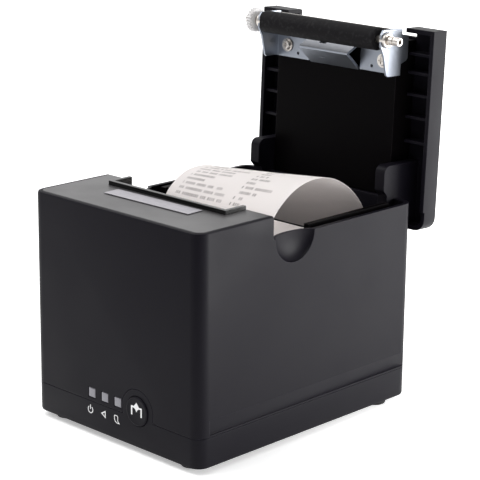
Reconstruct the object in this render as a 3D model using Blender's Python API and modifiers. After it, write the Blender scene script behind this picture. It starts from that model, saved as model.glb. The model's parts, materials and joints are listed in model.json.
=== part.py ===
"""Receipt printer for 80 mm paper, lid open, built as separate pieces.

Device coordinates are millimetres: x across (right positive), y from the front face to the
rear, z up from the lower edge of the base. The scene's origin is under the middle of the
whole object, on the plane that the feet stand on.
"""
import math

import bmesh
import bpy
from mathutils import Matrix, Vector

MM = 0.001

# Housing
WIDTH = 130.0
DEPTH = 168.5
HEIGHT = 126.5
SEAM_Z = 17.0
WALL_TOP_Z = 114.0
FRONT_DEPTH = 53.8
WALL = 2.5
CORNER = 7.0
EDGE = 1.2
GAP = 0.3
FLUSH = 0.02
FOOT_HEIGHT = 3.0
HALF = WIDTH / 2
INNER = HALF - WALL

# Lid hinge and platen roller, placed with the lid shut
HINGE_Y = 163.1
HINGE_Z = 100.4
LID_OPEN_DEG = 92.2
PLATEN_Y = 59.2
PLATEN_Z = 93.4
PLATEN_RADIUS = 6.4
PLATEN_HALF = 42.8
SHAFT_RADIUS = 2.5
SHAFT_HALF = 58.0
CHEEK_X = 47.0

# Paper
PAPER_HALF = 39.75
ROLL_Y = 99.0
ROLL_Z = 66.2
ROLL_RADIUS = 39.5
CORE_RADIUS = 8.3
CRADLE_RADIUS = 42.0
CRADLE_Z = 68.4
LID_ROOM_Z = 104.3
PLATEN_ROOM = 8.0

# Paper mouth, scoops, button and windows
MOUTH_HALF = 45.6
MOUTH_Y = 37.7
SCOOP_Y = 70.4
SCOOP_RADIUS = 15.2
SCOOP_DEPTH = 5.6
BUTTON_X = 18.7
BUTTON_Z = 20.9
BUTTON_RADIUS = 8.2
BUTTON_PROUD = 0.8
TAB_RADIUS = 12.0
WINDOW_PITCH = 10.35
WINDOW_FIRST_X = -17.7
WINDOW_WIDTH = 5.2
WINDOW_Z = 21.7

# Print mechanism
FRAME_FLOOR_Z = 66.0
FRAME_SIDE_X = 54.5
HEAD_PIVOT_Y = 45.5
HEAD_PIVOT_Z = 78.0
HEAD_FRONT_Y = 52.2
BLADE_Z = 103.4
BLADE_THICK = 1.0
CUTTER_X = 12.0
CUTTER_Y = 24.0
GEAR_X = -51.7
GEAR_HALF = 1.8
PLATEN_GEAR_RADIUS = 7.0
PINION_RADIUS = 3.2
MOTOR_Y = 19.0
MOTOR_Z = 86.0
IDLER_Y = 37.9
IDLER_Z = 85.4
IDLER_RADIUS = 15.3

# Rear panel
BAY_HALF = 48.0
BAY_LOW_Z = 6.5
BAY_HIGH_Z = 21.5
ROCKER_X = 44.0
ROCKER_Z = 40.0
ROCKER_Y = 166.0
ROCKER_TILT_DEG = 8.0

OPEN_TURN = math.radians(LID_OPEN_DEG)
# Rearmost point with the lid open: the front top edge of the shut lid, swung up and back
LID_REACH_Y = (HINGE_Y + (HEIGHT - HINGE_Z) * math.sin(OPEN_TURN)
               - (HINGE_Y - FRONT_DEPTH - GAP) * math.cos(OPEN_TURN))
MIDDLE_Y = (LID_REACH_Y - BUTTON_PROUD) / 2

HINGE = (0.0, HINGE_Y, HINGE_Z)
PLATEN = (0.0, PLATEN_Y, PLATEN_Z)
FIXED = (0.0, 0.0, 0.0)

COLOURS = {
    "black_case": ((0.018, 0.017, 0.020), 0.55, 0.0),
    "black_inner": ((0.008, 0.008, 0.009), 0.6, 0.0),
    "panel_black": ((0.024, 0.023, 0.026), 0.6, 0.0),
    "window_grey": ((0.26, 0.26, 0.29), 0.3, 0.0),
    "sticker": ((0.62, 0.62, 0.64), 0.4, 0.2),
    "steel": ((0.52, 0.54, 0.58), 0.35, 1.0),
    "nickel": ((0.66, 0.63, 0.60), 0.25, 1.0),
    "aluminium": ((0.70, 0.71, 0.73), 0.4, 1.0),
    "spring_steel": ((0.40, 0.41, 0.43), 0.3, 1.0),
    "roller_rubber": ((0.014, 0.012, 0.014), 0.8, 0.0),
    "white_plastic": ((0.82, 0.82, 0.81), 0.45, 0.0),
    "ceramic": ((0.55, 0.52, 0.46), 0.3, 0.0),
    "board_green": ((0.02, 0.12, 0.05), 0.5, 0.0),
    "port_black": ((0.02, 0.02, 0.02), 0.5, 0.0),
    "paper": ((0.86, 0.84, 0.83), 0.85, 0.0),
    "card": ((0.42, 0.33, 0.24), 0.9, 0.0),
    "foot_rubber": ((0.01, 0.01, 0.01), 0.9, 0.0),
}


# ---------------------------------------------------------------- scene helpers

def clear_scene():
    for thing in list(bpy.data.objects):
        bpy.data.objects.remove(thing, do_unlink=True)


def new_collection(name):
    collection = bpy.data.collections.new(name)
    bpy.context.scene.collection.children.link(collection)
    return collection


def new_material(name, finish):
    colour, roughness, metallic = COLOURS[finish]
    material = bpy.data.materials.new(name)
    material.use_nodes = True
    shader = material.node_tree.nodes["Principled BSDF"]
    shader.inputs["Base Color"].default_value = (*colour, 1.0)
    shader.inputs["Roughness"].default_value = roughness
    shader.inputs["Metallic"].default_value = metallic
    return material


def world_point(point):
    x, y, z = point
    return Vector((x, y - MIDDLE_Y, z + FOOT_HEIGHT)) * MM


def new_empty(name, location, parent=None):
    empty = bpy.data.objects.new(name, None)
    parts.objects.link(empty)
    empty.parent = parent
    empty.location = location
    return empty


# ---------------------------------------------------------------- shapes
# Each shape is a function that adds itself to a bmesh, relative to an anchor point.

def place(bm, verts, anchor, matrix):
    shift = Matrix.Translation(-Vector(anchor))
    bmesh.ops.transform(bm, matrix=shift @ matrix, verts=verts)


def box(low, high):
    def draw(bm, anchor):
        low_v, high_v = Vector(low), Vector(high)
        made = bmesh.ops.create_cube(bm, size=1.0)
        size = high_v - low_v
        matrix = Matrix.Translation((low_v + high_v) / 2) @ Matrix.Diagonal((*size, 1.0))
        place(bm, made["verts"], anchor, matrix)
    return draw


TURNS = {
    "X": Matrix.Rotation(math.pi / 2, 4, "Y"),
    "Y": Matrix.Rotation(-math.pi / 2, 4, "X"),
    "Z": Matrix.Identity(4),
}


def rod(axis, centre, radius, start, end, sides=24):
    """Cylinder along an axis; centre holds the two other coordinates in x, y, z order."""
    def draw(bm, anchor):
        made = bmesh.ops.create_cone(bm, cap_ends=True, segments=sides, radius1=radius,
                                     radius2=radius, depth=abs(end - start))
        middle = (start + end) / 2
        spot = list(centre)
        spot.insert("XYZ".index(axis), middle)
        place(bm, made["verts"], anchor, Matrix.Translation(spot) @ TURNS[axis])
    return draw


def ellipsoid(centre, radii, keep_inside_x, segments=28, rings=16):
    """Half of an ellipsoid: the half whose x is nearer the middle than keep_inside_x."""
    def draw(bm, anchor):
        before = set(bm.verts)
        made = bmesh.ops.create_uvsphere(bm, u_segments=segments, v_segments=rings, radius=1.0)
        matrix = Matrix.Translation(centre) @ Matrix.Diagonal((*radii, 1.0))
        place(bm, made["verts"], anchor, matrix)
        fresh = [vert for vert in bm.verts if vert not in before]
        rims = {rim for vert in fresh for rim in vert.link_edges}
        faces = {face for vert in fresh for face in vert.link_faces}
        side = math.copysign(1.0, centre[0])
        plane = Vector((side * keep_inside_x, 0.0, 0.0)) - Vector(anchor)
        cut = bmesh.ops.bisect_plane(bm, geom=[*fresh, *rims, *faces], dist=1e-4, plane_co=plane,
                                     plane_no=(side, 0.0, 0.0), clear_outer=True)
        edge_loop = [item for item in cut["geom_cut"] if isinstance(item, bmesh.types.BMEdge)]
        bmesh.ops.holes_fill(bm, edges=edge_loop)
    return draw


def prism(axis, outline, start, end):
    """Flat outline in the plane across an axis, drawn out from start to end."""
    slot = "XYZ".index(axis)

    def spot(pair, along):
        point = list(pair)
        point.insert(slot, along)
        return point

    def draw(bm, anchor):
        verts = [bm.verts.new(Vector(spot(pair, start)) - Vector(anchor)) for pair in outline]
        face = bm.faces.new(verts)
        drawn = bmesh.ops.extrude_face_region(bm, geom=[face])
        moved = [item for item in drawn["geom"] if isinstance(item, bmesh.types.BMVert)]
        travel = Vector(spot((0.0, 0.0), end - start))
        bmesh.ops.translate(bm, vec=travel, verts=moved)
    return draw


def rounded_box(low, high, corner, edge=0.0, edge_z=None, ends=("front", "rear")):
    """Box with rounded upright corners at the named ends, eased along its rim at edge_z."""
    def draw(bm, anchor):
        before = set(bm.verts)
        box(low, high)(bm, anchor)
        origin = Vector(anchor)

        def rims_where(test):
            fresh = {vert for vert in bm.verts if vert not in before}
            rims = {rim for vert in fresh for rim in vert.link_edges}
            return [rim for rim in rims if test(*(vert.co + origin for vert in rim.verts))]

        def upright(first, second):
            end = "front" if first.y < (low[1] + high[1]) / 2 else "rear"
            return abs(first.z - second.z) > 1.0 and end in ends

        def on_rim(first, second):
            return abs(first.z - edge_z) < 0.01 and abs(second.z - edge_z) < 0.01

        bmesh.ops.bevel(bm, geom=rims_where(upright), offset=corner, segments=5, profile=0.5,
                        affect="EDGES", clamp_overlap=True)
        if edge:
            bmesh.ops.bevel(bm, geom=rims_where(on_rim), offset=edge, segments=2, profile=0.5,
                            affect="EDGES", clamp_overlap=True)
    return draw


def gear(axis, centre, tip, root, teeth, start, end):
    """Spur wheel with flat-topped teeth."""
    outline = []
    for tooth in range(teeth):
        for share, radius in ((0.0, root), (0.30, root), (0.45, tip), (0.80, tip)):
            turn = math.tau * (tooth + share) / teeth
            outline.append((centre[0] + radius * math.cos(turn),
                            centre[1] + radius * math.sin(turn)))
    return prism(axis, outline, start, end)


def arc(centre, radius, first_deg, last_deg, steps):
    points = []
    for step in range(steps + 1):
        turn = math.radians(first_deg + (last_deg - first_deg) * step / steps)
        points.append((centre[0] + radius * math.cos(turn), centre[1] + radius * math.sin(turn)))
    return points


def side_span(side, near, far):
    """The lower and higher x of a stretch that runs from near to far on one side."""
    return (near, far) if side > 0 else (-far, -near)


def side_box(side, x_near, x_far, y_low, y_high, z_low, z_high):
    left, right = side_span(side, x_near, x_far)
    return box((left, y_low, z_low), (right, y_high, z_high))


# ---------------------------------------------------------------- pieces

def mesh_of(name, shapes, anchor):
    bm = bmesh.new()
    for shape in shapes:
        shape(bm, anchor)
    bmesh.ops.recalc_face_normals(bm, faces=bm.faces)
    bmesh.ops.scale(bm, vec=(MM, MM, MM), verts=bm.verts)
    mesh = bpy.data.meshes.new(name)
    bm.to_mesh(mesh)
    bm.free()
    return mesh


def attach(thing, parent, anchor):
    """Sets an object down at its anchor, or on the moving empty that holds the anchor."""
    thing.parent = parent
    if parent is None:
        thing.location = world_point(anchor)


def add_boolean(thing, operation, shapes, parent, anchor):
    name = f"{thing.name}_{operation.lower()}_{len(thing.modifiers)}"
    cutter = bpy.data.objects.new(name, mesh_of(name, shapes, anchor))
    cutters.objects.link(cutter)
    attach(cutter, parent, anchor)
    cutter.hide_render = True
    cutter.display_type = "WIRE"
    boolean = thing.modifiers.new(name, "BOOLEAN")
    boolean.operation = operation
    boolean.solver = "EXACT"
    boolean.object = cutter


def piece(name, finish, shape, steps=(), parent=None, anchor=FIXED):
    """One named solid: a first shape, then what is joined to it or cut from it, in order."""
    mesh = mesh_of(name, [shape], anchor)
    mesh.materials.append(new_material(name, finish))
    mesh.shade_smooth()
    mesh.set_sharp_from_angle(angle=math.radians(35))
    thing = bpy.data.objects.new(name, mesh)
    parts.objects.link(thing)
    attach(thing, parent, anchor)
    for operation, shapes in steps:
        add_boolean(thing, operation, shapes, parent, anchor)
    return thing


def wire_piece(name, finish, points, radius):
    """A bent wire through points given in device coordinates."""
    curve = bpy.data.curves.new(name, "CURVE")
    curve.dimensions = "3D"
    curve.bevel_depth = radius * MM
    curve.bevel_resolution = 2
    curve.use_fill_caps = True
    spline = curve.splines.new("POLY")
    spline.points.add(len(points) - 1)
    for target, point in zip(spline.points, points):
        target.co = (*world_point(point), 1.0)
    curve.materials.append(new_material(name, finish))
    parts.objects.link(bpy.data.objects.new(name, curve))


def coil(centre, radius, start_y, end_y, turns, steps=9):
    """Points of a helix whose axis runs along y."""
    count = turns * steps
    points = []
    for step in range(count + 1):
        turn = math.tau * step / steps
        points.append((centre[0] + radius * math.cos(turn),
                       start_y + (end_y - start_y) * step / count,
                       centre[1] + radius * math.sin(turn)))
    return points


JOIN = "UNION"
CUT = "DIFFERENCE"
SIDES = {"left": -1, "right": 1}


# ---------------------------------------------------------------- housing

BOARD_HALF = 46.0
POST_X = 50.0
POST_HALF = 3.0
POST_YS = (14.0, 58.0)
STANDOFF_TOP_Z = 4.7
FOOT_RADIUS = 6.5
FOOT_SPOTS = {"front": (50.0, 10.5), "rear": (56.0, 150.0)}
HINGE_LUG_X = ((41.8, 45.0), (52.4, 55.6))
ARM_X = (45.4, 52.0)
PIN_RADIUS = 2.0


def mouth(low_z, high_z):
    return box((-MOUTH_HALF, MOUTH_Y, low_z), (MOUTH_HALF, FRONT_DEPTH + 10, high_z))


def base_shell():
    outer = rounded_box((-HALF, 0, 0), (HALF, DEPTH, SEAM_Z - GAP), CORNER, EDGE, 0.0)
    hollow = rounded_box((-INNER, WALL, WALL), (INNER, DEPTH - WALL, SEAM_Z + 10), CORNER - WALL)
    bay = box((-BAY_HALF, DEPTH - 2 * WALL, BAY_LOW_Z), (BAY_HALF, DEPTH + 5, SEAM_Z + 20))
    tab = rod("Y", (BUTTON_X, BUTTON_Z), TAB_RADIUS, FLUSH, WALL - FLUSH, 40)
    posts = [side_box(side, POST_X - POST_HALF, POST_X + POST_HALF, y - POST_HALF, y + POST_HALF,
                      WALL / 2, FRAME_FLOOR_Z - GAP) for side in (-1, 1) for y in POST_YS]
    standoffs = [side_box(side, 38, 43, y, y + 5, WALL / 2, STANDOFF_TOP_Z)
                 for side in (-1, 1) for y in (26, 148)]
    button_hole = rod("Y", (BUTTON_X, BUTTON_Z), BUTTON_RADIUS + GAP, -5.0, 6.0, 40)
    piece("base_shell", "black_case", outer,
          [(CUT, [hollow]), (CUT, [bay]), (JOIN, [tab]), (JOIN, posts), (JOIN, standoffs),
           (CUT, [button_hole])])


def feet():
    for row, (x, y) in FOOT_SPOTS.items():
        for label, side in SIDES.items():
            piece(f"foot_{row}_{label}", "foot_rubber",
                  rod("Z", (side * x, y), FOOT_RADIUS, -FOOT_HEIGHT, -GAP, 24))


def upper_case():
    outer = rounded_box((-HALF, 0, SEAM_Z), (HALF, DEPTH, HEIGHT), CORNER, EDGE, HEIGHT)
    hollow = rounded_box((-INNER, WALL, SEAM_Z - 5), (INNER, DEPTH - WALL, HEIGHT - 4.0),
                         CORNER - WALL)
    rim = 1.6
    bowls = [ellipsoid((side * HALF, SCOOP_Y, WALL_TOP_Z),
                       (SCOOP_DEPTH + rim, SCOOP_RADIUS + rim, SCOOP_RADIUS + rim),
                       HALF - WALL / 2) for side in (-1, 1)]
    lugs = [side_box(side, near, far, 157.5, DEPTH - WALL / 2, 90.0, HINGE_Z + 4.3)
            for side in (-1, 1) for near, far in HINGE_LUG_X]
    step = box((-HALF - 5, FRONT_DEPTH, WALL_TOP_Z), (HALF + 5, DEPTH + 5, HEIGHT + 5))
    pocket = rounded_box((-INNER, WALL, HEIGHT - 1.5), (INNER, FRONT_DEPTH + 10, HEIGHT + 5),
                         CORNER - WALL)
    scoops = [ellipsoid((side * HALF, SCOOP_Y, WALL_TOP_Z),
                        (SCOOP_DEPTH, SCOOP_RADIUS, SCOOP_RADIUS), HALF + 4.0)
              for side in (-1, 1)]
    bands = [side_box(side, HALF - 1.0, HALF + 5, 8.0, DEPTH + 5, SEAM_Z + 1.0, SEAM_Z + 9.0)
             for side in (-1, 1)]
    tab = rod("Y", (BUTTON_X, BUTTON_Z), TAB_RADIUS + GAP, -5.0, WALL + 3, 40)
    reach = WINDOW_WIDTH / 2 + GAP
    windows = [box((x - reach, -5, WINDOW_Z - reach), (x + reach, 5, WINDOW_Z + reach))
               for x in window_xs()]
    bay = box((-BAY_HALF, DEPTH - 2 * WALL, SEAM_Z - 5), (BAY_HALF, DEPTH + 5, BAY_HIGH_Z))
    rocker_hole = box((ROCKER_X - 6.7, DEPTH - 8, ROCKER_Z - 9.9),
                      (ROCKER_X + 6.7, DEPTH + 5, ROCKER_Z + 9.9))
    pin_holes = [rod("X", (HINGE_Y, HINGE_Z), PIN_RADIUS + GAP, side * 41.0, side * 56.5, 20)
                 for side in (-1, 1)]
    arm_slots = [side_box(side, ARM_X[0] - GAP, ARM_X[1] + GAP, DEPTH - 2 * WALL, DEPTH + 5,
                          HINGE_Z - 5.6, WALL_TOP_Z + 5) for side in (-1, 1)]
    piece("upper_case", "black_case", outer,
          [(CUT, [hollow]), (JOIN, bowls), (JOIN, lugs), (CUT, [step]), (CUT, [pocket]),
           (CUT, scoops), (CUT, bands), (CUT, [mouth(HEIGHT - 12, HEIGHT + 5)]), (CUT, [tab]),
           (CUT, windows), (CUT, [bay]), (CUT, [rocker_hole]), (CUT, pin_holes),
           (CUT, arm_slots)])


def top_panel():
    plate = rounded_box((-INNER + GAP, WALL + GAP, HEIGHT - 1.2), (INNER - GAP, FRONT_DEPTH, HEIGHT),
                        CORNER - WALL - GAP, ends=("front",))
    piece("top_panel", "panel_black", plate, [(CUT, [mouth(HEIGHT - 5, HEIGHT + 5)])])


def exit_bezel():
    half, front, top, low = MOUTH_HALF - GAP, MOUTH_Y + GAP, HEIGHT + 2.2, HEIGHT - 10.5
    outer = box((-half, front, low), (half, FRONT_DEPTH - 0.5, top))
    inner = box((-half + 2.3, front + 2.3, low - 5), (half - 2.3, FRONT_DEPTH + 10, top + 5))
    piece("exit_bezel", "black_inner", outer, [(CUT, [inner])])


def top_label():
    label = piece("top_label", "sticker", box((-32.0, -5.4, 0.0), (32.0, 5.4, 0.2)),
                  anchor=FIXED)
    label.location = world_point((-0.2, 28.7, HEIGHT + GAP))
    label.rotation_euler.z = math.radians(1.2)


def window_xs():
    return [WINDOW_FIRST_X + number * WINDOW_PITCH for number in range(3)]


def status_windows():
    half = WINDOW_WIDTH / 2
    for label, x in zip(("power", "error", "paper"), window_xs()):
        piece(f"status_window_{label}", "window_grey",
              box((x - half, 0.1, WINDOW_Z - half), (x + half, 3.0, WINDOW_Z + half)))


def feed_button():
    anchor = (BUTTON_X, 0.0, BUTTON_Z)
    cap = rod("Y", (BUTTON_X, BUTTON_Z), BUTTON_RADIUS, -BUTTON_PROUD, 2.2, 40)
    stem = rod("Y", (BUTTON_X, BUTTON_Z), 2.0, 1.5, 6.0, 16)
    piece("feed_button", "black_case", cap, [(JOIN, [stem])], anchor=anchor)


def front_board():
    piece("front_board", "board_green", box((-30, 12.0, 8.0), (32, 13.6, 34.0)))
    body = box((BUTTON_X - 3, 8.6, BUTTON_Z - 3), (BUTTON_X + 3, 11.7, BUTTON_Z + 3))
    plunger = rod("Y", (BUTTON_X, BUTTON_Z), 1.6, 7.1, 9.0, 16)
    piece("feed_switch", "port_black", body, [(JOIN, [plunger])])


def paper_bin():
    wall = 2.3
    front, rear = ROLL_Y - CRADLE_RADIUS, ROLL_Y + CRADLE_RADIUS
    inside, outside = 41.5, 43.8
    deck_low, deck_top = 84.0, 86.0
    trough = rod("X", (ROLL_Y, CRADLE_Z), CRADLE_RADIUS + wall, -outside, outside, 48)
    front_wall = box((-outside, front - wall, CRADLE_Z), (outside, ROLL_Y, 80.0))
    back_wall = box((-outside, ROLL_Y - 33, CRADLE_Z), (outside, rear + wall, deck_top - 0.2))
    decks = [side_box(side, outside - 1.0, 57.5, 66.0, 156.0, deck_low, deck_top)
             for side in (-1, 1)]
    back_deck = box((-outside, rear, deck_low + 0.1), (outside, 156.0, deck_top - 0.1))
    rims = [side_box(side, 54.0, 57.4, 89.0, 155.8, deck_low + 0.2, WALL_TOP_Z + GAP)
            for side in (-1, 1)]
    drum = rod("X", (ROLL_Y, CRADLE_Z), CRADLE_RADIUS, -inside, inside, 48)
    room = box((-inside, front, CRADLE_Z), (inside, rear, 120.0))
    rear_slots = [side_box(side, ARM_X[0] - 1, ARM_X[1] + 1, 150, 160, deck_low - 5, deck_top + 5)
                  for side in (-1, 1)]
    lid_room = box((-outside - 5, ROLL_Y - 60, LID_ROOM_Z), (outside + 5, ROLL_Y + 60, HEIGHT))
    platen_room = box((-outside - 5, PLATEN_Y - 20, deck_low - 3.1),
                      (outside + 5, PLATEN_Y + PLATEN_ROOM, HEIGHT))
    piece("paper_bin", "black_inner", trough,
          [(JOIN, [front_wall]), (JOIN, [back_wall]), (CUT, [drum]), (CUT, [room]),
           (CUT, [lid_room]), (CUT, [platen_room]), (JOIN, decks), (JOIN, [back_deck]),
           (JOIN, rims), (CUT, rear_slots)])


# ---------------------------------------------------------------- print mechanism

SLOT_HALF = 3.0


def mech_frame():
    side_out = FRAME_SIDE_X + 1.5
    floor = box((-side_out, 10, FRAME_FLOOR_Z), (side_out, 53, FRAME_FLOOR_Z + 1.5))
    cheeks = [side_box(side, FRAME_SIDE_X, side_out, 10, 64, FRAME_FLOOR_Z, 100.5)
              for side in (-1, 1)]
    tall = [side_box(side, FRAME_SIDE_X, side_out, 10, 47, 95, BLADE_Z + 5) for side in (-1, 1)]
    wall = box((-47, 33, FRAME_FLOOR_Z + 0.7), (47, 34.5, 98))
    ears = [side_box(side, 45.2, 46.8, 41, 50, FRAME_FLOOR_Z + 0.7, 82) for side in (-1, 1)]
    slots = [side_box(side, 50, 60, PLATEN_Y - SLOT_HALF, PLATEN_Y + SLOT_HALF, PLATEN_Z, 110)
             for side in (-1, 1)]
    seats = [rod("X", (PLATEN_Y, PLATEN_Z), SLOT_HALF, side * 50, side * 60, 24)
             for side in (-1, 1)]
    pivot = rod("X", (HEAD_PIVOT_Y, HEAD_PIVOT_Z), 1.8, -49, 49, 20)
    axle_hole = rod("X", (IDLER_Y, IDLER_Z), 1.8, -60, -50, 20)
    piece("mech_frame", "steel", floor,
          [(JOIN, cheeks), (JOIN, tall), (JOIN, [wall]), (JOIN, ears), (CUT, slots), (CUT, seats),
           (CUT, [pivot]), (CUT, [axle_hole])])


def print_head():
    anchor = (0.0, HEAD_PIVOT_Y, HEAD_PIVOT_Z)
    plate = box((-44, 47.2, 74), (44, HEAD_FRONT_Y - 1.5, 100.4))
    lugs = [side_box(side, 40, 44, 43.2, 48, 75.5, 80.5) for side in (-1, 1)]
    hole = rod("X", (HEAD_PIVOT_Y, HEAD_PIVOT_Z), 1.8, -49, 49, 20)
    piece("heat_sink", "aluminium", plate, [(JOIN, lugs), (CUT, [hole])], anchor=anchor)
    piece("print_head", "ceramic",
          box((-42, HEAD_FRONT_Y - 1.2, 86.5), (42, HEAD_FRONT_Y, 99.9)), anchor=anchor)
    piece("head_pivot_rod", "nickel",
          rod("X", (HEAD_PIVOT_Y, HEAD_PIVOT_Z), 1.5, -47.6, 47.6, 20))
    for label, side in SIDES.items():
        wire_piece(f"head_spring_{label}", "spring_steel",
                   coil((side * 25.0, 91.0), 3.0, 35.4, 45.9, 5), 0.45)


def cutter():
    low = BLADE_Z + 1.5
    blade_top = BLADE_Z + BLADE_THICK
    plate = box((-FRAME_SIDE_X + GAP, 10.3, low), (FRAME_SIDE_X - GAP, 47.5, low + 1.0))
    shaft_hole = rod("Z", (CUTTER_X, CUTTER_Y), 2.2, low - 3, low + 5, 20)
    rails = [side_box(side, 42.6, 44.2, 10.3, 47.5, BLADE_Z - 1, low + 0.5) for side in (-1, 1)]
    piece("cutter_base", "steel", plate, [(CUT, [shaft_hole]), (JOIN, rails)])

    blade_half, edge_side, edge_middle = 42.0, 50.6, 48.6
    outline = [(-blade_half, 8.2), (blade_half, 8.2), (blade_half, edge_side), (0.0, edge_middle),
               (-blade_half, edge_side)]
    tooth_pitch, rack_x, first_y = 2.3, CUTTER_X + 7.0, 12.9
    window = box((CUTTER_X - 6.0, 12.5, BLADE_Z - 5), (rack_x, 30.5, BLADE_Z + 5))
    teeth = [box((rack_x - 1.9, first_y + number * tooth_pitch, BLADE_Z),
                 (rack_x + 0.5, first_y + number * tooth_pitch + 1.1, blade_top))
             for number in range(7)]
    piece("moving_blade", "nickel", prism("Z", outline, BLADE_Z, blade_top),
          [(CUT, [window]), (JOIN, teeth)], anchor=(0.0, edge_middle, BLADE_Z))

    anchor = (CUTTER_X, CUTTER_Y, BLADE_Z)
    wheel = gear("Z", (CUTTER_X, CUTTER_Y), 4.7, 3.4, 12, BLADE_Z - 0.4, blade_top + 0.2)
    hub = rod("Z", (CUTTER_X, CUTTER_Y), 1.7, blade_top - 0.5, low + 0.9, 16)
    piece("cutter_pinion", "white_plastic", wheel, [(JOIN, [hub])], anchor=anchor)
    piece("cutter_motor", "nickel", rod("Z", (CUTTER_X, CUTTER_Y), 7.5, low + 1.3, 120.8, 32))
    piece("cutter_cover", "black_inner", box((-45, 34.5, low + 1.3), (45, 37.0, HEIGHT - 4.4)))


def feed_drive():
    near, far = GEAR_X - GEAR_HALF, GEAR_X + GEAR_HALF
    can = rod("X", (MOTOR_Y, MOTOR_Z), 12.0, -48.8, -27.0, 40)
    piece("feed_motor", "nickel", can)
    piece("motor_pinion", "nickel", gear("X", (MOTOR_Y, MOTOR_Z), PINION_RADIUS, 2.3, 10, near, far),
          anchor=(GEAR_X, MOTOR_Y, MOTOR_Z))
    axle_hole = rod("X", (IDLER_Y, IDLER_Z), 1.8, -60, -45, 20)
    piece("idler_gear", "white_plastic",
          gear("X", (IDLER_Y, IDLER_Z), IDLER_RADIUS, 14.0, 48, near, far), [(CUT, [axle_hole])],
          anchor=(GEAR_X, IDLER_Y, IDLER_Z))
    piece("idler_axle", "nickel", rod("X", (IDLER_Y, IDLER_Z), 1.5, -57.0, -49.0, 20))


def sensors():
    piece("paper_end_sensor", "port_black", box((44.2, 90, 34), (48.0, 100, 42)))
    piece("lid_switch", "port_black", box((-61.8, 40, 88), (-56.6, 50, 100)))
    piece("buzzer", "port_black", rod("Z", (28, 38), 6.0, 6.9, 13.0, 24))


# ---------------------------------------------------------------- rear panel and board

PORTS = {
    "power_socket": (-45.0, -32.0, 12.4),
    "drawer_socket": (-27.0, -14.0, 12.0),
    "network_socket": (-8.0, 8.0, 13.4),
    "usb_socket": (15.0, 27.0, 11.0),
    "serial_socket": (31.0, 45.0, 12.0),
}
PORT_LOW_Z = 6.9
PORT_FRONT_Y = 151.0
PORT_FACE_Y = 168.0


def port_cavity(name, left, right, top):
    """The opening that each plug goes into, cut from the rear."""
    middle, deep = (left + right) / 2, PORT_FACE_Y - 9.0
    centre_z = (PORT_LOW_Z + top) / 2
    if name == "power_socket":
        return rod("Y", (middle, centre_z), 4.6, deep, PORT_FACE_Y + 5, 24)
    side, rim = 1.6, 1.8
    return box((left + side, deep, PORT_LOW_Z + rim), (right - side, PORT_FACE_Y + 5, top - rim))


def rear_ports():
    piece("main_board", "board_green", box((-BOARD_HALF, 20, 5.0), (BOARD_HALF, 158, 6.6)))
    panel = box((-BAY_HALF - 1.7, 164.7, 5.6), (BAY_HALF + 1.7, 165.7, BAY_HIGH_Z + 1.0))
    holes = []
    for name, (left, right, tall) in PORTS.items():
        top = PORT_LOW_Z + tall
        body = box((left, PORT_FRONT_Y, PORT_LOW_Z), (right, PORT_FACE_Y, top))
        finish = "nickel" if name in ("network_socket", "usb_socket") else "port_black"
        piece(name, finish, body, [(CUT, [port_cavity(name, left, right, top)])])
        holes.append(box((left - GAP, 160, PORT_LOW_Z - GAP), (right + GAP, 170, top + GAP)))
    piece("port_panel", "steel", panel, [(CUT, holes)])


def power_switch():
    body = box((ROCKER_X - 6.4, 158.0, ROCKER_Z - 9.6), (ROCKER_X + 6.4, DEPTH + 0.8, ROCKER_Z + 9.6))
    flange = box((ROCKER_X - 7.6, DEPTH + GAP, ROCKER_Z - 10.8),
                 (ROCKER_X + 7.6, DEPTH + 1.5, ROCKER_Z + 10.8))
    well = box((ROCKER_X - 4.8, 160.5, ROCKER_Z - 8.3), (ROCKER_X + 4.8, DEPTH + 5, ROCKER_Z + 8.3))
    piece("switch_frame", "port_black", body, [(JOIN, [flange]), (CUT, [well])])

    anchor = (ROCKER_X, ROCKER_Y, ROCKER_Z)
    half, crest, sag = 7.6, DEPTH + 1.6, 1.0
    outline = [(162.6, ROCKER_Z - 3), (crest, ROCKER_Z - half), (crest - sag, ROCKER_Z),
               (crest, ROCKER_Z + half), (162.6, ROCKER_Z + 3)]
    pivot = new_empty("rocker_pivot", world_point(anchor))
    pivot.rotation_euler.x = math.radians(-ROCKER_TILT_DEG)
    piece("power_rocker", "black_inner",
          prism("X", outline, ROCKER_X - 4.4, ROCKER_X + 4.4), parent=pivot, anchor=anchor)


# ---------------------------------------------------------------- lid

PANEL_Z = 107.5
NOTCH_HALF = 45.0
NOTCH_Y = 60.0
RIB_YS = (68.5, 79.0, 91.5, 104.4, 118.3)
BRACKET_Z = 106.0
BRACKET_THICK = 1.2
SCREW_X = 36.6
SCREW_Y = 73.0
BUSH_RADIUS = 4.2
CHEEK_STEP = 2.6            # the left cheek stands this much closer to the roller


def hinge_arm_outline():
    """Gooseneck of the lid, seen from the side, from the panel down to the pin and back up."""
    knuckle = arc((HINGE_Y, HINGE_Z), 4.4, -130, 0, 8)
    nose = arc((134.2, 98.2), 4.2, 180, 270, 5)
    return [(130.0, 125.0), *nose, (144.0, 94.0), (147.0, 97.0), (156.0, 97.4), *knuckle,
            (HINGE_Y + 4.4, 125.0)]


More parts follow.
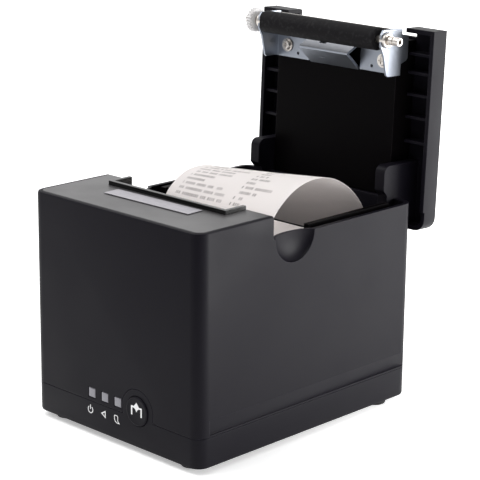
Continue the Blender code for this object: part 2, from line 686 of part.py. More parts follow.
def lid_shell(hinge):
    low_z = WALL_TOP_Z + GAP
    outer = rounded_box((-HALF, FRONT_DEPTH + GAP, low_z), (HALF, DEPTH, HEIGHT), CORNER, EDGE,
                        HEIGHT, ends=("rear",))
    hollow = rounded_box((-INNER, FRONT_DEPTH + GAP + WALL, low_z - 5),
                         (INNER, DEPTH - WALL, HEIGHT - WALL), CORNER - WALL, ends=("rear",))
    notch = box((-NOTCH_HALF, 40, low_z - 5), (NOTCH_HALF, NOTCH_Y, HEIGHT + 5))
    swing_room = box((-HALF - 5, 157, low_z - 5), (HALF + 5, DEPTH + 5, low_z + 1.3))
    ribs = [side_box(side, 46.5, INNER + 0.5, y - 0.75, y + 0.75, 116.5, HEIGHT - 1.5)
            for side in (-1, 1) for y in RIB_YS]
    arms = [prism("X", hinge_arm_outline(), *side_span(side, *ARM_X)) for side in (-1, 1)]
    eyes = [rod("X", (HINGE_Y, HINGE_Z), PIN_RADIUS + 0.4, side * 44, side * 54, 20)
            for side in (-1, 1)]
    piece("lid_shell", "black_case", outer,
          [(CUT, [hollow]), (CUT, [notch]), (CUT, [swing_room]), (JOIN, ribs), (JOIN, arms),
           (CUT, eyes)], parent=hinge, anchor=HINGE)


def lid_panel(hinge):
    """Smooth inner tray that covers the roll and carries the platen bracket."""
    outer = box((-45, 61.5, PANEL_Z), (45, 150, HEIGHT - WALL - GAP))
    hollow = box((-43, 63.5, PANEL_Z + 2), (43, 148, HEIGHT + 5))
    piece("lid_inner_panel", "black_inner", outer, [(CUT, [hollow])], parent=hinge, anchor=HINGE)


def platen_bracket(hinge):
    top = BRACKET_Z + BRACKET_THICK
    cheek_x = {-1: CHEEK_X - CHEEK_STEP, 1: CHEEK_X}
    plate = box((-cheek_x[-1] - 1.2, 57, BRACKET_Z), (CHEEK_X + 1.2, 80, top))
    cheek = [(53.6, 91.0), (56.2, 89.0), (62.5, 89.0), (68.0, 92.0), (79.0, 95.0), (80.0, 96.5),
             (80.0, top), (73.5, top), (72.0, 111.6), (70.5, 113.0), (59.0, 113.0), (57.5, 111.5),
             (57.0, top), (53.6, top)]
    outlines = {-1: cheek[:7] + cheek[-1:], 1: cheek}
    cheeks = [prism("X", outlines[side], *side_span(side, cheek_x[side], cheek_x[side] + 1.2))
              for side in (-1, 1)]
    window = box((-19.5, 65.5, BRACKET_Z - 5), (19.5, 85, top + 5))
    leaf = [(64.9, BRACKET_Z + 0.1), (64.9, top - 0.1), (66.0, top - 0.1), (71.0, 97.3),
            (79.2, top), (80.6, BRACKET_Z + 0.3), (71.4, 95.4), (70.4, 95.4)]
    holes = [rod("Z", (side * 28.3, 77.0), 0.9, 100, 110, 12) for side in (-1, 1)]
    bush_holes = [rod("X", (PLATEN_Y, PLATEN_Z), BUSH_RADIUS + GAP, side * 41, side * 50, 24)
                  for side in (-1, 1)]
    leaf_hole = box((-7.5, 66.0, 100.5), (-2.5, 76.0, 103.4))
    screw_holes = [rod("Z", (side * SCREW_X, SCREW_Y), 1.9, 100, 110, 16) for side in (-1, 1)]
    piece("platen_bracket", "steel", plate,
          [(JOIN, cheeks), (CUT, [window]), (JOIN, [prism("X", leaf, -18.3, 18.3)]), (CUT, holes),
           (CUT, [leaf_hole]), (CUT, bush_holes), (CUT, screw_holes)], parent=hinge, anchor=HINGE)
    for label, side in SIDES.items():
        spot = (side * SCREW_X, SCREW_Y)
        head = rod("Z", spot, 3.1, BRACKET_Z - 2.4, BRACKET_Z - 0.6, 24)
        washer = rod("Z", spot, 3.9, BRACKET_Z - 0.9, BRACKET_Z - GAP, 24)
        shank = rod("Z", spot, 1.5, BRACKET_Z - 1.0, PANEL_Z - GAP, 16)
        piece(f"bracket_screw_{label}", "nickel", head, [(JOIN, [washer]), (JOIN, [shank])],
              parent=hinge, anchor=HINGE)
        start = cheek_x[side] - 0.7
        ring = rod("X", (PLATEN_Y, PLATEN_Z), BUSH_RADIUS, side * start, side * (start + 3.9), 24)
        bore = rod("X", (PLATEN_Y, PLATEN_Z), SHAFT_RADIUS + GAP, side * 40, side * 51, 24)
        piece(f"platen_bush_{label}", "nickel", ring, [(CUT, [bore])], parent=hinge, anchor=HINGE)
    piece("fixed_blade", "nickel", box((-43, 54.4, BLADE_Z + 1.3), (43, 64.5, BRACKET_Z - GAP)),
          parent=hinge, anchor=HINGE)


def platen(axle):
    centre = (PLATEN_Y, PLATEN_Z)
    shaft = rod("X", centre, SHAFT_RADIUS, -SHAFT_HALF, SHAFT_HALF, 24)
    bore = rod("X", centre, 1.3, SHAFT_HALF - 6, SHAFT_HALF + 3, 16)
    piece("platen_shaft", "nickel", shaft, [(CUT, [bore])], parent=axle, anchor=PLATEN)
    clearance = rod("X", centre, SHAFT_RADIUS + GAP, -60, 60, 24)
    piece("platen_roller", "roller_rubber",
          rod("X", centre, PLATEN_RADIUS, -PLATEN_HALF, PLATEN_HALF, 40), [(CUT, [clearance])],
          parent=axle, anchor=PLATEN)
    wheel = gear("X", centre, PLATEN_GEAR_RADIUS, 5.9, 24, GEAR_X - GEAR_HALF, GEAR_X + GEAR_HALF)
    piece("platen_gear", "white_plastic", wheel, [(CUT, [clearance])], parent=axle, anchor=PLATEN)


def hinge_pins():
    for label, side in SIDES.items():
        piece(f"hinge_pin_{label}", "nickel",
              rod("X", (HINGE_Y, HINGE_Z), PIN_RADIUS, side * 42.1, side * 55.3, 20))


# ---------------------------------------------------------------- paper

STRIP_THICK = 0.2
STRIP_RIGHT = ((73.2, 96.9), (76.4, 107.0), (80.7, 116.1), (88.6, 123.6), (98.0, 129.0),
               (108.0, 131.8), (118.0, 132.0), (128.0, 129.9), (138.0, 125.0), (147.0, 118.0),
               (154.5, 108.5), (158.6, 96.9))
STRIP_LEFT = ((73.2, 96.9), (74.0, 106.6), (76.4, 115.9), (83.0, 122.0), (90.4, 126.0),
              (98.6, 127.6), (108.0, 127.2), (118.0, 124.6), (128.0, 120.0), (138.0, 114.0),
              (147.0, 107.0), (154.4, 96.9))
STRIP_COLUMNS = 6


def receipt_strip():
    """Printed strip that leaves the roll at its front, arches over it and hangs behind it."""
    bm = bmesh.new()
    rows = []
    for left, right in zip(STRIP_LEFT, STRIP_RIGHT):
        row = []
        for column in range(STRIP_COLUMNS + 1):
            share = column / STRIP_COLUMNS
            y, z = (Vector(left).lerp(Vector(right), share))
            x = PAPER_HALF * (2 * share - 1)
            row.append(bm.verts.new(world_point((x, y, z))))
        rows.append(row)
    for near, far in zip(rows, rows[1:]):
        for column in range(STRIP_COLUMNS):
            bm.faces.new((near[column], near[column + 1], far[column + 1], far[column]))
    mesh = bpy.data.meshes.new("receipt_strip")
    bm.to_mesh(mesh)
    bm.free()
    mesh.shade_smooth()
    mesh.materials.append(new_material("receipt_strip", "paper"))
    strip = bpy.data.objects.new("receipt_strip", mesh)
    parts.objects.link(strip)
    solidify = strip.modifiers.new("thickness", "SOLIDIFY")
    solidify.thickness = STRIP_THICK * MM
    solidify.offset = 0.0


def paper_roll():
    centre = (ROLL_Y, ROLL_Z)
    anchor = (0.0, ROLL_Y, ROLL_Z)
    body = rod("X", centre, ROLL_RADIUS, -PAPER_HALF, PAPER_HALF, 56)
    bore = rod("X", centre, CORE_RADIUS + GAP, -50, 50, 32)
    piece("paper_roll", "paper", body, [(CUT, [bore])], anchor=anchor)
    core = rod("X", centre, CORE_RADIUS, -PAPER_HALF + 0.2, PAPER_HALF - 0.2, 32)
    core_bore = rod("X", centre, CORE_RADIUS - 1.8, -50, 50, 32)
    piece("roll_core", "card", core, [(CUT, [core_bore])], anchor=anchor)


# ---------------------------------------------------------------- the whole printer

def build_printer():
    base_shell()
    feet()
    upper_case()
    top_panel()
    exit_bezel()
    top_label()
    status_windows()
    feed_button()
    front_board()
    paper_bin()
    mech_frame()
    print_head()
    cutter()
    feed_drive()
    sensors()
    rear_ports()
    power_switch()
    hinge_pins()
    paper_roll()
    receipt_strip()
    hinge = new_empty("lid_hinge", world_point(HINGE))
    hinge.rotation_euler.x = -OPEN_TURN
    lid_shell(hinge)
    lid_panel(hinge)
    platen_bracket(hinge)
    axle = new_empty("platen_axis", (Vector(PLATEN) - Vector(HINGE)) * MM, hinge)
    platen(axle)


clear_scene()
parts = new_collection("receipt_printer")
cutters = new_collection("cutters")
build_printer()
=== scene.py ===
"""Looks of the receipt printer: a finish for every solid and the fine pieces round the frame.

Places are given in device millimetres, as a drawing of the printer has them: x from the
middle to the right, y from the front face to the rear, z up from the base's lower edge.
Pieces on the lid are drawn with the lid shut and then swung open with it.
"""
import json
import math

import bmesh
import bpy
from bpy.props import FloatProperty, FloatVectorProperty, IntProperty, PointerProperty
from mathutils import Matrix, Vector, noise


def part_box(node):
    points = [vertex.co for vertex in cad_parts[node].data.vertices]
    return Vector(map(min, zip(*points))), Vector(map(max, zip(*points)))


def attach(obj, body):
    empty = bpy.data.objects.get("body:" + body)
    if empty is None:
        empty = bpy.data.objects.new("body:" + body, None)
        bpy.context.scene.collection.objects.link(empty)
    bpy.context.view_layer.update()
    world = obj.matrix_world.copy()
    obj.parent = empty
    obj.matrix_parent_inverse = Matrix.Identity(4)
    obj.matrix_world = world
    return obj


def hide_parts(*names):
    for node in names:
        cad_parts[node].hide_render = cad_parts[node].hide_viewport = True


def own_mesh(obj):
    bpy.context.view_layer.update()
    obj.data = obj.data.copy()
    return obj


bl_info = {
    "name": "Receipt Printer Looks",
    "version": (1, 0, 0),
    "blender": (4, 5, 0),
    "location": "3D View > Sidebar > Printer",
    "description": "Finishes and fine pieces for a receipt printer with its lid open",
    "category": "Object",
}

MM = 0.001

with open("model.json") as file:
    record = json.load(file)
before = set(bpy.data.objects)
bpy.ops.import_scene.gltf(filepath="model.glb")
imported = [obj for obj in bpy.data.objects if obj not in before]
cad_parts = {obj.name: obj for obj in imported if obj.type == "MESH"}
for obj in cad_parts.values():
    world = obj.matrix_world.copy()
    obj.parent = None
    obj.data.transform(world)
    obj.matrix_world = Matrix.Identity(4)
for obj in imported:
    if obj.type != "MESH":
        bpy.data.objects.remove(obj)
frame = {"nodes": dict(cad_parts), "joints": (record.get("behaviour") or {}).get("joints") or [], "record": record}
NODES = frame["nodes"]
JOINTS = {joint["name"]: joint for joint in frame["joints"]}
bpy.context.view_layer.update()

FRONT_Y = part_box("base_shell")[0].y
BASE_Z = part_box("base_shell")[0].z
HINGE = Vector(JOINTS["lid_hinge"]["pos_m"])
OPEN_TURN = math.radians(JOINTS["lid_hinge"]["range_deg"][1])
LID_SWING = (Matrix.Translation(HINGE) @ Matrix.Rotation(-OPEN_TURN, 4, "X")
             @ Matrix.Translation(-HINGE))
UNMOVED = Matrix.Identity(4)
ACROSS = Vector((1.0, 0.0, 0.0))
BACK = Vector((0.0, 1.0, 0.0))
UP = Vector((0.0, 0.0, 1.0))
DOWNWARDS = Matrix.Rotation(math.pi, 4, "X")
SIDES = (("left", -1), ("right", 1))


def at(x, y, z):
    """A point in device millimetres as a place in the frame."""
    return Vector((x * MM, FRONT_Y + y * MM, BASE_Z + z * MM))


# ---------------------------------------------------------------- settings

class CaseLooks(bpy.types.PropertyGroup):
    shell_colour: FloatVectorProperty(
        name="Shell colour", description="Colour of the moulded outside shells",
        subtype="COLOR", size=3, min=0.0, max=1.0, default=(0.0046, 0.0040, 0.0066))
    shell_gloss: FloatProperty(
        name="Shell roughness", description="Roughness of the moulded outside shells",
        subtype="FACTOR", min=0.0, max=1.0, default=0.44)
    grain_size: FloatProperty(
        name="Grain size", description="Width of one grain of the moulded texture",
        unit="LENGTH", min=0.0001, max=0.002, default=0.00045)
    # Painted highlight: the moulded shells' outside edges are drawn lighter over this width, and their shading is
    # rounded over the same width.
    edge_highlight_width: FloatProperty(
        name="Worn edge", description="Width of the rubbed band along outside edges",
        unit="LENGTH", min=0.0001, max=0.003, default=0.0006)


class PaperLooks(bpy.types.PropertyGroup):
    sheet_colour: FloatVectorProperty(
        name="Paper colour", description="Colour of the thermal paper",
        subtype="COLOR", size=3, min=0.0, max=1.0, default=(0.96, 0.93, 0.92))
    row_pitch: FloatProperty(
        name="Row pitch", description="Distance from one printed row to the next",
        unit="LENGTH", min=0.001, max=0.01, default=0.0041)
    dash_pitch: FloatProperty(
        name="Dash pitch", description="Distance from one printed dash to the next",
        unit="LENGTH", min=0.0005, max=0.01, default=0.00135)
    thickness: FloatProperty(
        name="Strip thickness", description="Thickness of the loose strip",
        unit="LENGTH", min=0.00005, max=0.0005, default=0.00012)


class MechanismLooks(bpy.types.PropertyGroup):
    roller_segments: IntProperty(
        name="Turned segments", description="Sides of each turned piece",
        min=24, max=256, default=96)
    wire_radius: FloatProperty(
        name="Spring wire radius", description="Radius of the springs' wire",
        unit="LENGTH", min=0.0001, max=0.001, default=0.00045)


class StageLooks(bpy.types.PropertyGroup):
    floor_colour: FloatVectorProperty(
        name="Floor colour", description="Colour of the studio floor",
        subtype="COLOR", size=3, min=0.0, max=1.0, default=(0.93, 0.93, 0.93))
    floor_glow: FloatProperty(
        name="Floor glow", description="Light the floor itself gives, as a lit sweep does",
        min=0.0, max=2.0, default=0.40)
    rear_glow: FloatProperty(
        name="Rear floor glow", description="Light the floor gives behind and to the right",
        min=0.0, max=10.0, default=1.7)
    side_power: FloatProperty(
        name="Side light", description="Power of the low light at the right",
        min=0.0, max=500.0, default=40.0)
    overhead_power: FloatProperty(
        name="Overhead light", description="Power of the light overhead",
        min=0.0, max=500.0, default=19.0)


# ---------------------------------------------------------------- finishes

class Finish:
    """A material being made: its shader, its object coordinates and short ways to add nodes."""

    def __init__(self, name, colour, roughness, metallic=0.0, specular=0.5):
        self.material = bpy.data.materials.new(name)
        self.material.use_nodes = True
        self.tree = self.material.node_tree
        self.shader = self.tree.nodes["Principled BSDF"]
        self.set("Base Color", (*colour, 1.0))
        self.set("Roughness", roughness)
        self.set("Metallic", metallic)
        self.set("Specular IOR Level", specular)
        self.place = self.node("ShaderNodeTexCoord").outputs["Object"]

    def set(self, socket, value):
        if isinstance(value, bpy.types.NodeSocket):
            self.tree.links.new(value, self.shader.inputs[socket])
        else:
            self.shader.inputs[socket].default_value = value

    def node(self, kind, values=None, **settings):
        made = self.tree.nodes.new(kind)
        for label, value in settings.items():
            setattr(made, label, value)
        for socket, value in (values or {}).items():
            if isinstance(value, bpy.types.NodeSocket):
                self.tree.links.new(value, made.inputs[socket])
            else:
                made.inputs[socket].default_value = value
        return made

    def maths(self, operation, first, second=0.0):
        return self.node("ShaderNodeMath", {0: first, 1: second}, operation=operation).outputs[0]

    def stretched(self, factors):
        """Object coordinates scaled by a factor on each axis."""
        return self.node("ShaderNodeMapping", {"Vector": self.place, "Scale": factors}).outputs[0]

    def noise(self, size, detail=2.0, vector=None, roughness=0.5):
        values = {"Vector": vector or self.place, "Scale": 1.0 / size, "Detail": detail,
                  "Roughness": roughness}
        return self.node("ShaderNodeTexNoise", values).outputs["Fac"]

    def between(self, factor, low, high, start=0.0, end=1.0):
        values = {"Value": factor, "From Min": start, "From Max": end, "To Min": low,
                  "To Max": high}
        return self.node("ShaderNodeMapRange", values).outputs["Result"]

    def blend(self, factor, first, second):
        values = {"Factor": factor, 6: (*first, 1.0) if isinstance(first, tuple) else first,
                  7: (*second, 1.0) if isinstance(second, tuple) else second}
        return self.node("ShaderNodeMix", values, data_type="RGBA").outputs[2]

    def bump(self, height, strength, depth, normal=None):
        values = {"Height": height, "Strength": strength, "Distance": depth}
        if normal is not None:
            values["Normal"] = normal
        return self.node("ShaderNodeBump", values).outputs["Normal"]

    def let_through(self, share, colour):
        """Lets a share of the light pass, as thin paper does."""
        through = self.node("ShaderNodeBsdfTranslucent", {"Color": (*colour, 1.0)}).outputs[0]
        mixed = self.node("ShaderNodeMixShader", {0: share, 1: self.shader.outputs["BSDF"],
                                                  2: through}).outputs[0]
        self.tree.links.new(mixed, self.tree.nodes["Material Output"].inputs["Surface"])

    def soft_edges(self, width):
        """The normal with every edge rounded over a width, and how near an edge a place is."""
        rounded = self.node("ShaderNodeBevel", {"Radius": width}, samples=6).outputs["Normal"]
        flat = self.node("ShaderNodeNewGeometry").outputs["Normal"]
        alike = self.node("ShaderNodeVectorMath", {0: rounded, 1: flat},
                          operation="DOT_PRODUCT").outputs["Value"]
        return rounded, self.between(alike, 1.0, 0.0, 0.90, 0.995)


def moulded(name, colour, roughness, grain, edge, lift=2.2, specular=0.5, depth=0.00004):
    """Spark-textured black plastic with a slight painted highlight along its edges, uneven along them, and uneven
    sheen.
    """
    skin = Finish(name, colour, roughness, specular=specular)
    rounded, edge_mask = skin.soft_edges(edge)
    broad = skin.noise(0.030, 3.0)
    fine = skin.noise(grain, 2.0)
    # Painted highlight: the outside edges are drawn lighter than the shell, the colour lifted by lift, and
    # unevenly along them by the broad noise.
    edge_highlight_colour = tuple(min(1.0, channel * lift + 0.004) for channel in colour)
    cool = tuple(channel * 1.18 for channel in colour)
    painted_highlight = skin.maths("MULTIPLY", edge_mask, skin.between(broad, 0.35, 0.9, 0.3, 0.7))
    skin.set("Base Color", skin.blend(painted_highlight, skin.blend(broad, colour, cool), edge_highlight_colour))
    speck = skin.between(fine, -0.05, 0.05)
    patch = skin.between(broad, roughness - 0.04, roughness + 0.05, 0.3, 0.7)
    skin.set("Roughness", skin.maths("ADD", patch, speck))
    skin.set("Normal", skin.bump(fine, 0.35, depth, rounded))
    return skin.material


def sheet_metal(name, colour, roughness, along, edge=0.0003):
    """Plated sheet with a fine rolled grain along one axis, a few cloudy patches and a painted highlight along its
    edges.
    """
    skin = Finish(name, colour, roughness, metallic=1.0)
    rounded, edge_mask = skin.soft_edges(edge)
    factors = [60.0 if axis != along else 1.0 for axis in "XYZ"]
    grain = skin.noise(0.012, 3.0, skin.stretched(factors))
    cloud = skin.noise(0.009, 4.0)
    pale = tuple(min(1.0, channel * 1.14) for channel in colour)
    dull = tuple(channel * 0.88 for channel in colour)
    tint = skin.blend(cloud, dull, pale)
    # Painted highlight: the sheet's edges are drawn in the pale tint.
    skin.set("Base Color", skin.blend(edge_mask, tint, pale))
    skin.set("Roughness", skin.maths("ADD", skin.between(grain, -0.06, 0.06),
                                     skin.between(cloud, roughness - 0.05, roughness + 0.07)))
    skin.set("Normal", skin.bump(grain, 0.15, 0.00002, rounded))
    return skin.material


def turned_metal(name, colour, roughness):
    """Plated turned metal with rings left by the tool and light handling marks."""
    skin = Finish(name, colour, roughness, metallic=1.0)
    rings = skin.noise(0.010, 3.0, skin.stretched((70.0, 4.0, 4.0)))
    marks = skin.noise(0.004, 3.0)
    dull = tuple(channel * 0.82 for channel in colour)
    skin.set("Base Color", skin.blend(skin.between(marks, 0.0, 0.6), colour, dull))
    skin.set("Roughness", skin.between(rings, roughness - 0.06, roughness + 0.10))
    skin.set("Normal", skin.bump(rings, 0.12, 0.00002))
    return skin.material


def plain_plastic(name, colour, roughness, cloud_size=0.006, edge=0.0003):
    """Smooth moulded plastic with faint flow marks and a painted highlight along its edges."""
    skin = Finish(name, colour, roughness)
    rounded, edge_mask = skin.soft_edges(edge)
    flow = skin.noise(cloud_size, 3.0)
    deep = tuple(channel * 0.90 for channel in colour)
    pale = tuple(min(1.0, channel * 1.25 + 0.003) for channel in colour)
    # Painted highlight: the edges are drawn in the pale colour.
    skin.set("Base Color", skin.blend(edge_mask, skin.blend(flow, deep, colour), pale))
    skin.set("Roughness", skin.between(flow, roughness - 0.05, roughness + 0.06))
    skin.set("Normal", skin.bump(skin.noise(0.0006, 2.0), 0.10, 0.00003, rounded))
    return skin.material


def acetal():
    """Milky gear plastic."""
    skin = Finish("natural_acetal", (0.72, 0.71, 0.71), 0.42)
    flow = skin.noise(0.003, 3.0)
    skin.set("Base Color", skin.blend(flow, (0.68, 0.67, 0.67), (0.78, 0.77, 0.77)))
    skin.set("Roughness", skin.between(flow, 0.36, 0.50))
    skin.set("Normal", skin.bump(skin.noise(0.0005, 2.0), 0.12, 0.00003))
    return skin.material


def ground_rubber():
    """Platen rubber: ground matt, with a trace of paper dust."""
    black, dusty = (0.007, 0.0065, 0.0075), (0.08, 0.08, 0.08)
    skin = Finish("ground_rubber", black, 0.66, specular=0.08)
    grind = skin.noise(0.006, 3.0, skin.stretched((3.0, 24.0, 24.0)))
    dust = skin.noise(0.002, 4.0)
    amount = skin.maths("MULTIPLY", skin.between(dust, 0.0, 1.0, 0.52, 0.78), 0.22)
    skin.set("Base Color", skin.blend(amount, black, dusty))
    skin.set("Roughness", skin.between(grind, 0.54, 0.74))
    skin.set("Normal", skin.bump(grind, 0.25, 0.00003))
    return skin.material


def lens():
    """Smoky light window that spreads its lamp's light."""
    skin = Finish("smoky_lens", (0.20, 0.195, 0.22), 0.32)
    ridges = skin.node("ShaderNodeTexWave", {"Vector": skin.place, "Scale": 700.0,
                                             "Distortion": 0.4}, bands_direction="X")
    haze = skin.noise(0.0016, 2.0)
    skin.set("Base Color", skin.blend(haze, (0.17, 0.165, 0.19), (0.23, 0.225, 0.25)))
    skin.set("Coat Weight", 0.25)
    skin.set("Coat Roughness", 0.12)
    skin.set("Normal", skin.bump(ridges.outputs["Fac"], 0.08, 0.00005))
    return skin.material


def silver_film():
    """Blank silver label with rows of faint plain dashes, as a filled-in form has."""
    skin = Finish("silver_film", (0.55, 0.54, 0.57), 0.34, metallic=0.25)
    row_pitch, cell_pitch = 0.0026, 0.0031
    parts = skin.node("ShaderNodeSeparateXYZ", {"Vector": skin.place}).outputs
    row_place = skin.maths("MULTIPLY", parts["Y"], 1.0 / row_pitch)
    row = skin.maths("FLOOR", row_place)
    cell = skin.maths("FLOOR", skin.maths("MULTIPLY", parts["X"], 1.0 / cell_pitch))
    spot = skin.node("ShaderNodeCombineXYZ", {"X": cell, "Y": row})
    chance = skin.node("ShaderNodeTexWhiteNoise", {"Vector": spot.outputs[0]}).outputs["Value"]
    row_part = skin.maths("FRACT", row_place)
    inside = skin.maths("MULTIPLY", skin.maths("GREATER_THAN", row_part, 0.35),
                        skin.maths("LESS_THAN", row_part, 0.72))
    dash = skin.maths("MULTIPLY", inside, skin.maths("GREATER_THAN", chance, 0.52))
    shine = skin.noise(0.011, 3.0)
    film = skin.blend(shine, (0.24, 0.23, 0.26), (0.40, 0.38, 0.41))
    skin.set("Base Color", skin.blend(skin.maths("MULTIPLY", dash, 0.35), film, (0.2, 0.2, 0.22)))
    skin.set("Roughness", skin.between(shine, 0.26, 0.42))
    return skin.material


def circuit_board():
    """Green lacquer over copper tracks."""
    skin = Finish("board_lacquer", (0.02, 0.12, 0.05), 0.38)
    cells = skin.node("ShaderNodeTexBrick", {
        "Vector": skin.place, "Scale": 90.0, "Color1": (0.015, 0.10, 0.045, 1.0),
        "Color2": (0.020, 0.13, 0.060, 1.0), "Mortar": (0.045, 0.20, 0.09, 1.0),
        "Mortar Size": 0.02})
    skin.set("Base Color", cells.outputs["Color"])
    skin.set("Roughness", skin.between(skin.noise(0.004, 2.0), 0.30, 0.46))
    skin.set("Normal", skin.bump(cells.outputs["Fac"], 0.3, 0.00005))
    return skin.material


def ceramic():
    """Glazed head with its brown heating line."""
    glaze, heater = (0.55, 0.52, 0.46), (0.10, 0.05, 0.03)
    line_from, line_to, blur = 93.0, 94.4, 0.2
    skin = Finish("glazed_ceramic", glaze, 0.25)
    height = skin.node("ShaderNodeSeparateXYZ", {"Vector": skin.place}).outputs["Z"]
    line = skin.between(height, 0.0, 1.0, BASE_Z + line_from * MM,
                        BASE_Z + (line_from + blur) * MM)
    end = skin.between(height, 1.0, 0.0, BASE_Z + (line_to - blur) * MM, BASE_Z + line_to * MM)
    skin.set("Base Color", skin.blend(skin.maths("MULTIPLY", line, end), glaze, heater))
    skin.set("Roughness", skin.between(skin.noise(0.003, 2.0), 0.20, 0.34))
    return skin.material


def card():
    """Brown wound card of the roll's core."""
    skin = Finish("wound_card", (0.40, 0.31, 0.22), 0.88)
    fibres = skin.noise(0.003, 4.0, skin.stretched((1.0, 5.0, 5.0)))
    skin.set("Base Color", skin.blend(fibres, (0.33, 0.25, 0.17), (0.47, 0.37, 0.27)))
    skin.set("Roughness", skin.between(fibres, 0.80, 0.95))
    skin.set("Normal", skin.bump(fibres, 0.35, 0.00008))
    return skin.material


def wound_paper(colour):
    """Paper roll: its ends show the edges of its layers, unevenly wound and a little grey."""
    skin = Finish("wound_paper", colour, 0.82, specular=0.3)
    centre = Vector(JOINTS["roll_spin"]["pos_m"])
    parts = skin.node("ShaderNodeSeparateXYZ", {"Vector": skin.place}).outputs
    off_y = skin.maths("SUBTRACT", parts["Y"], centre.y)
    off_z = skin.maths("SUBTRACT", parts["Z"], centre.z)
    radius = skin.maths("SQRT", skin.maths("ADD", skin.maths("MULTIPLY", off_y, off_y),
                                           skin.maths("MULTIPLY", off_z, off_z)))
    layers = skin.node("ShaderNodeTexNoise", {"W": radius, "Scale": 2600.0, "Detail": 3.0},
                       noise_dimensions="1D").outputs["Fac"]
    normal = skin.node("ShaderNodeNewGeometry").outputs["Normal"]
    sideways = skin.node("ShaderNodeSeparateXYZ", {"Vector": normal}).outputs["X"]
    on_end = skin.between(skin.maths("ABSOLUTE", sideways), 0.0, 1.0, 0.5, 0.9)
    grey = tuple(channel * 0.80 for channel in colour)
    edges = skin.blend(skin.between(layers, 0.0, 1.0, 0.3, 0.7), grey, colour)
    skin.set("Base Color", skin.blend(on_end, colour, edges))
    height = skin.maths("MULTIPLY", layers, on_end)
    skin.set("Normal", skin.bump(height, 0.5, 0.00010))
    return skin.material


def printed_paper(colour, row_pitch, dash_pitch):
    """Thermal paper with rows of plain dashes in two columns on its printed face.

    The map holds the metres across the strip from its left edge, and along it.
    """
    skin = Finish("printed_paper", colour, 0.62, specular=0.35)
    spot = skin.node("ShaderNodeUVMap", uv_map="strip").outputs["UV"]
    parts = skin.node("ShaderNodeSeparateXYZ", {"Vector": spot}).outputs
    row_place = skin.maths("DIVIDE", parts["Y"], row_pitch)
    cell_place = skin.maths("DIVIDE", parts["X"], dash_pitch)
    row, cell = skin.maths("FLOOR", row_place), skin.maths("FLOOR", cell_place)
    row_part, cell_part = skin.maths("FRACT", row_place), skin.maths("FRACT", cell_place)

    def chance(first, second):
        key = skin.node("ShaderNodeCombineXYZ", {"X": first, "Y": second}).outputs[0]
        return skin.node("ShaderNodeTexWhiteNoise", {"Vector": key}).outputs["Value"]

    def product(first, *others):
        for other in others:
            first = skin.maths("MULTIPLY", first, other)
        return first

    print_from, print_to = 0.0200, 0.0760
    left_from, right_from = 0.006, 0.046
    bar = product(skin.maths("GREATER_THAN", row_part, 0.30),
                  skin.maths("LESS_THAN", row_part, 0.78),
                  skin.maths("LESS_THAN", cell_part, 0.74))
    word_gap = skin.maths("GREATER_THAN", chance(cell, row), 0.16)
    left_end = skin.between(chance(row, 7.5), 0.018, 0.040)
    left = product(skin.maths("GREATER_THAN", parts["X"], left_from),
                   skin.maths("LESS_THAN", parts["X"], left_end))
    right_end = skin.between(chance(row, 3.5), 0.050, 0.073)
    right = product(skin.maths("GREATER_THAN", parts["X"], right_from),
                    skin.maths("LESS_THAN", parts["X"], right_end))
    column = skin.maths("MAXIMUM", left, right)
    begun = skin.maths("GREATER_THAN", parts["Y"], print_from)
    not_ended = skin.maths("LESS_THAN", parts["Y"], print_to)
    shade = skin.between(chance(cell, 1.5), 0.60, 1.0)
    inked = product(bar, word_gap, column, begun, not_ended, shade)
    fibres = skin.noise(0.0015, 4.0)
    plain = tuple(channel * 0.975 for channel in colour)
    front = skin.blend(inked, skin.blend(fibres, plain, colour), (0.13, 0.12, 0.13))
    back_side = skin.node("ShaderNodeUVMap", uv_map="face").outputs["UV"]
    is_back = skin.node("ShaderNodeSeparateXYZ", {"Vector": back_side}).outputs["X"]
    under = tuple(channel * 0.90 for channel in colour)
    skin.set("Base Color", skin.blend(is_back, front, under))
    skin.set("Roughness", skin.between(fibres, 0.56, 0.70))
    skin.set("Normal", skin.bump(fibres, 0.06, 0.00003))
    skin.let_through(0.44, colour)
    return skin.material


def ink():
    """White screen-printed ink of the signs on the front."""
    skin = Finish("white_ink", (0.80, 0.80, 0.80), 0.6)
    wear = skin.noise(0.0008, 3.0)
    skin.set("Base Color", skin.blend(wear, (0.70, 0.70, 0.71), (0.86, 0.86, 0.86)))
    return skin.material


FINISHES = {}


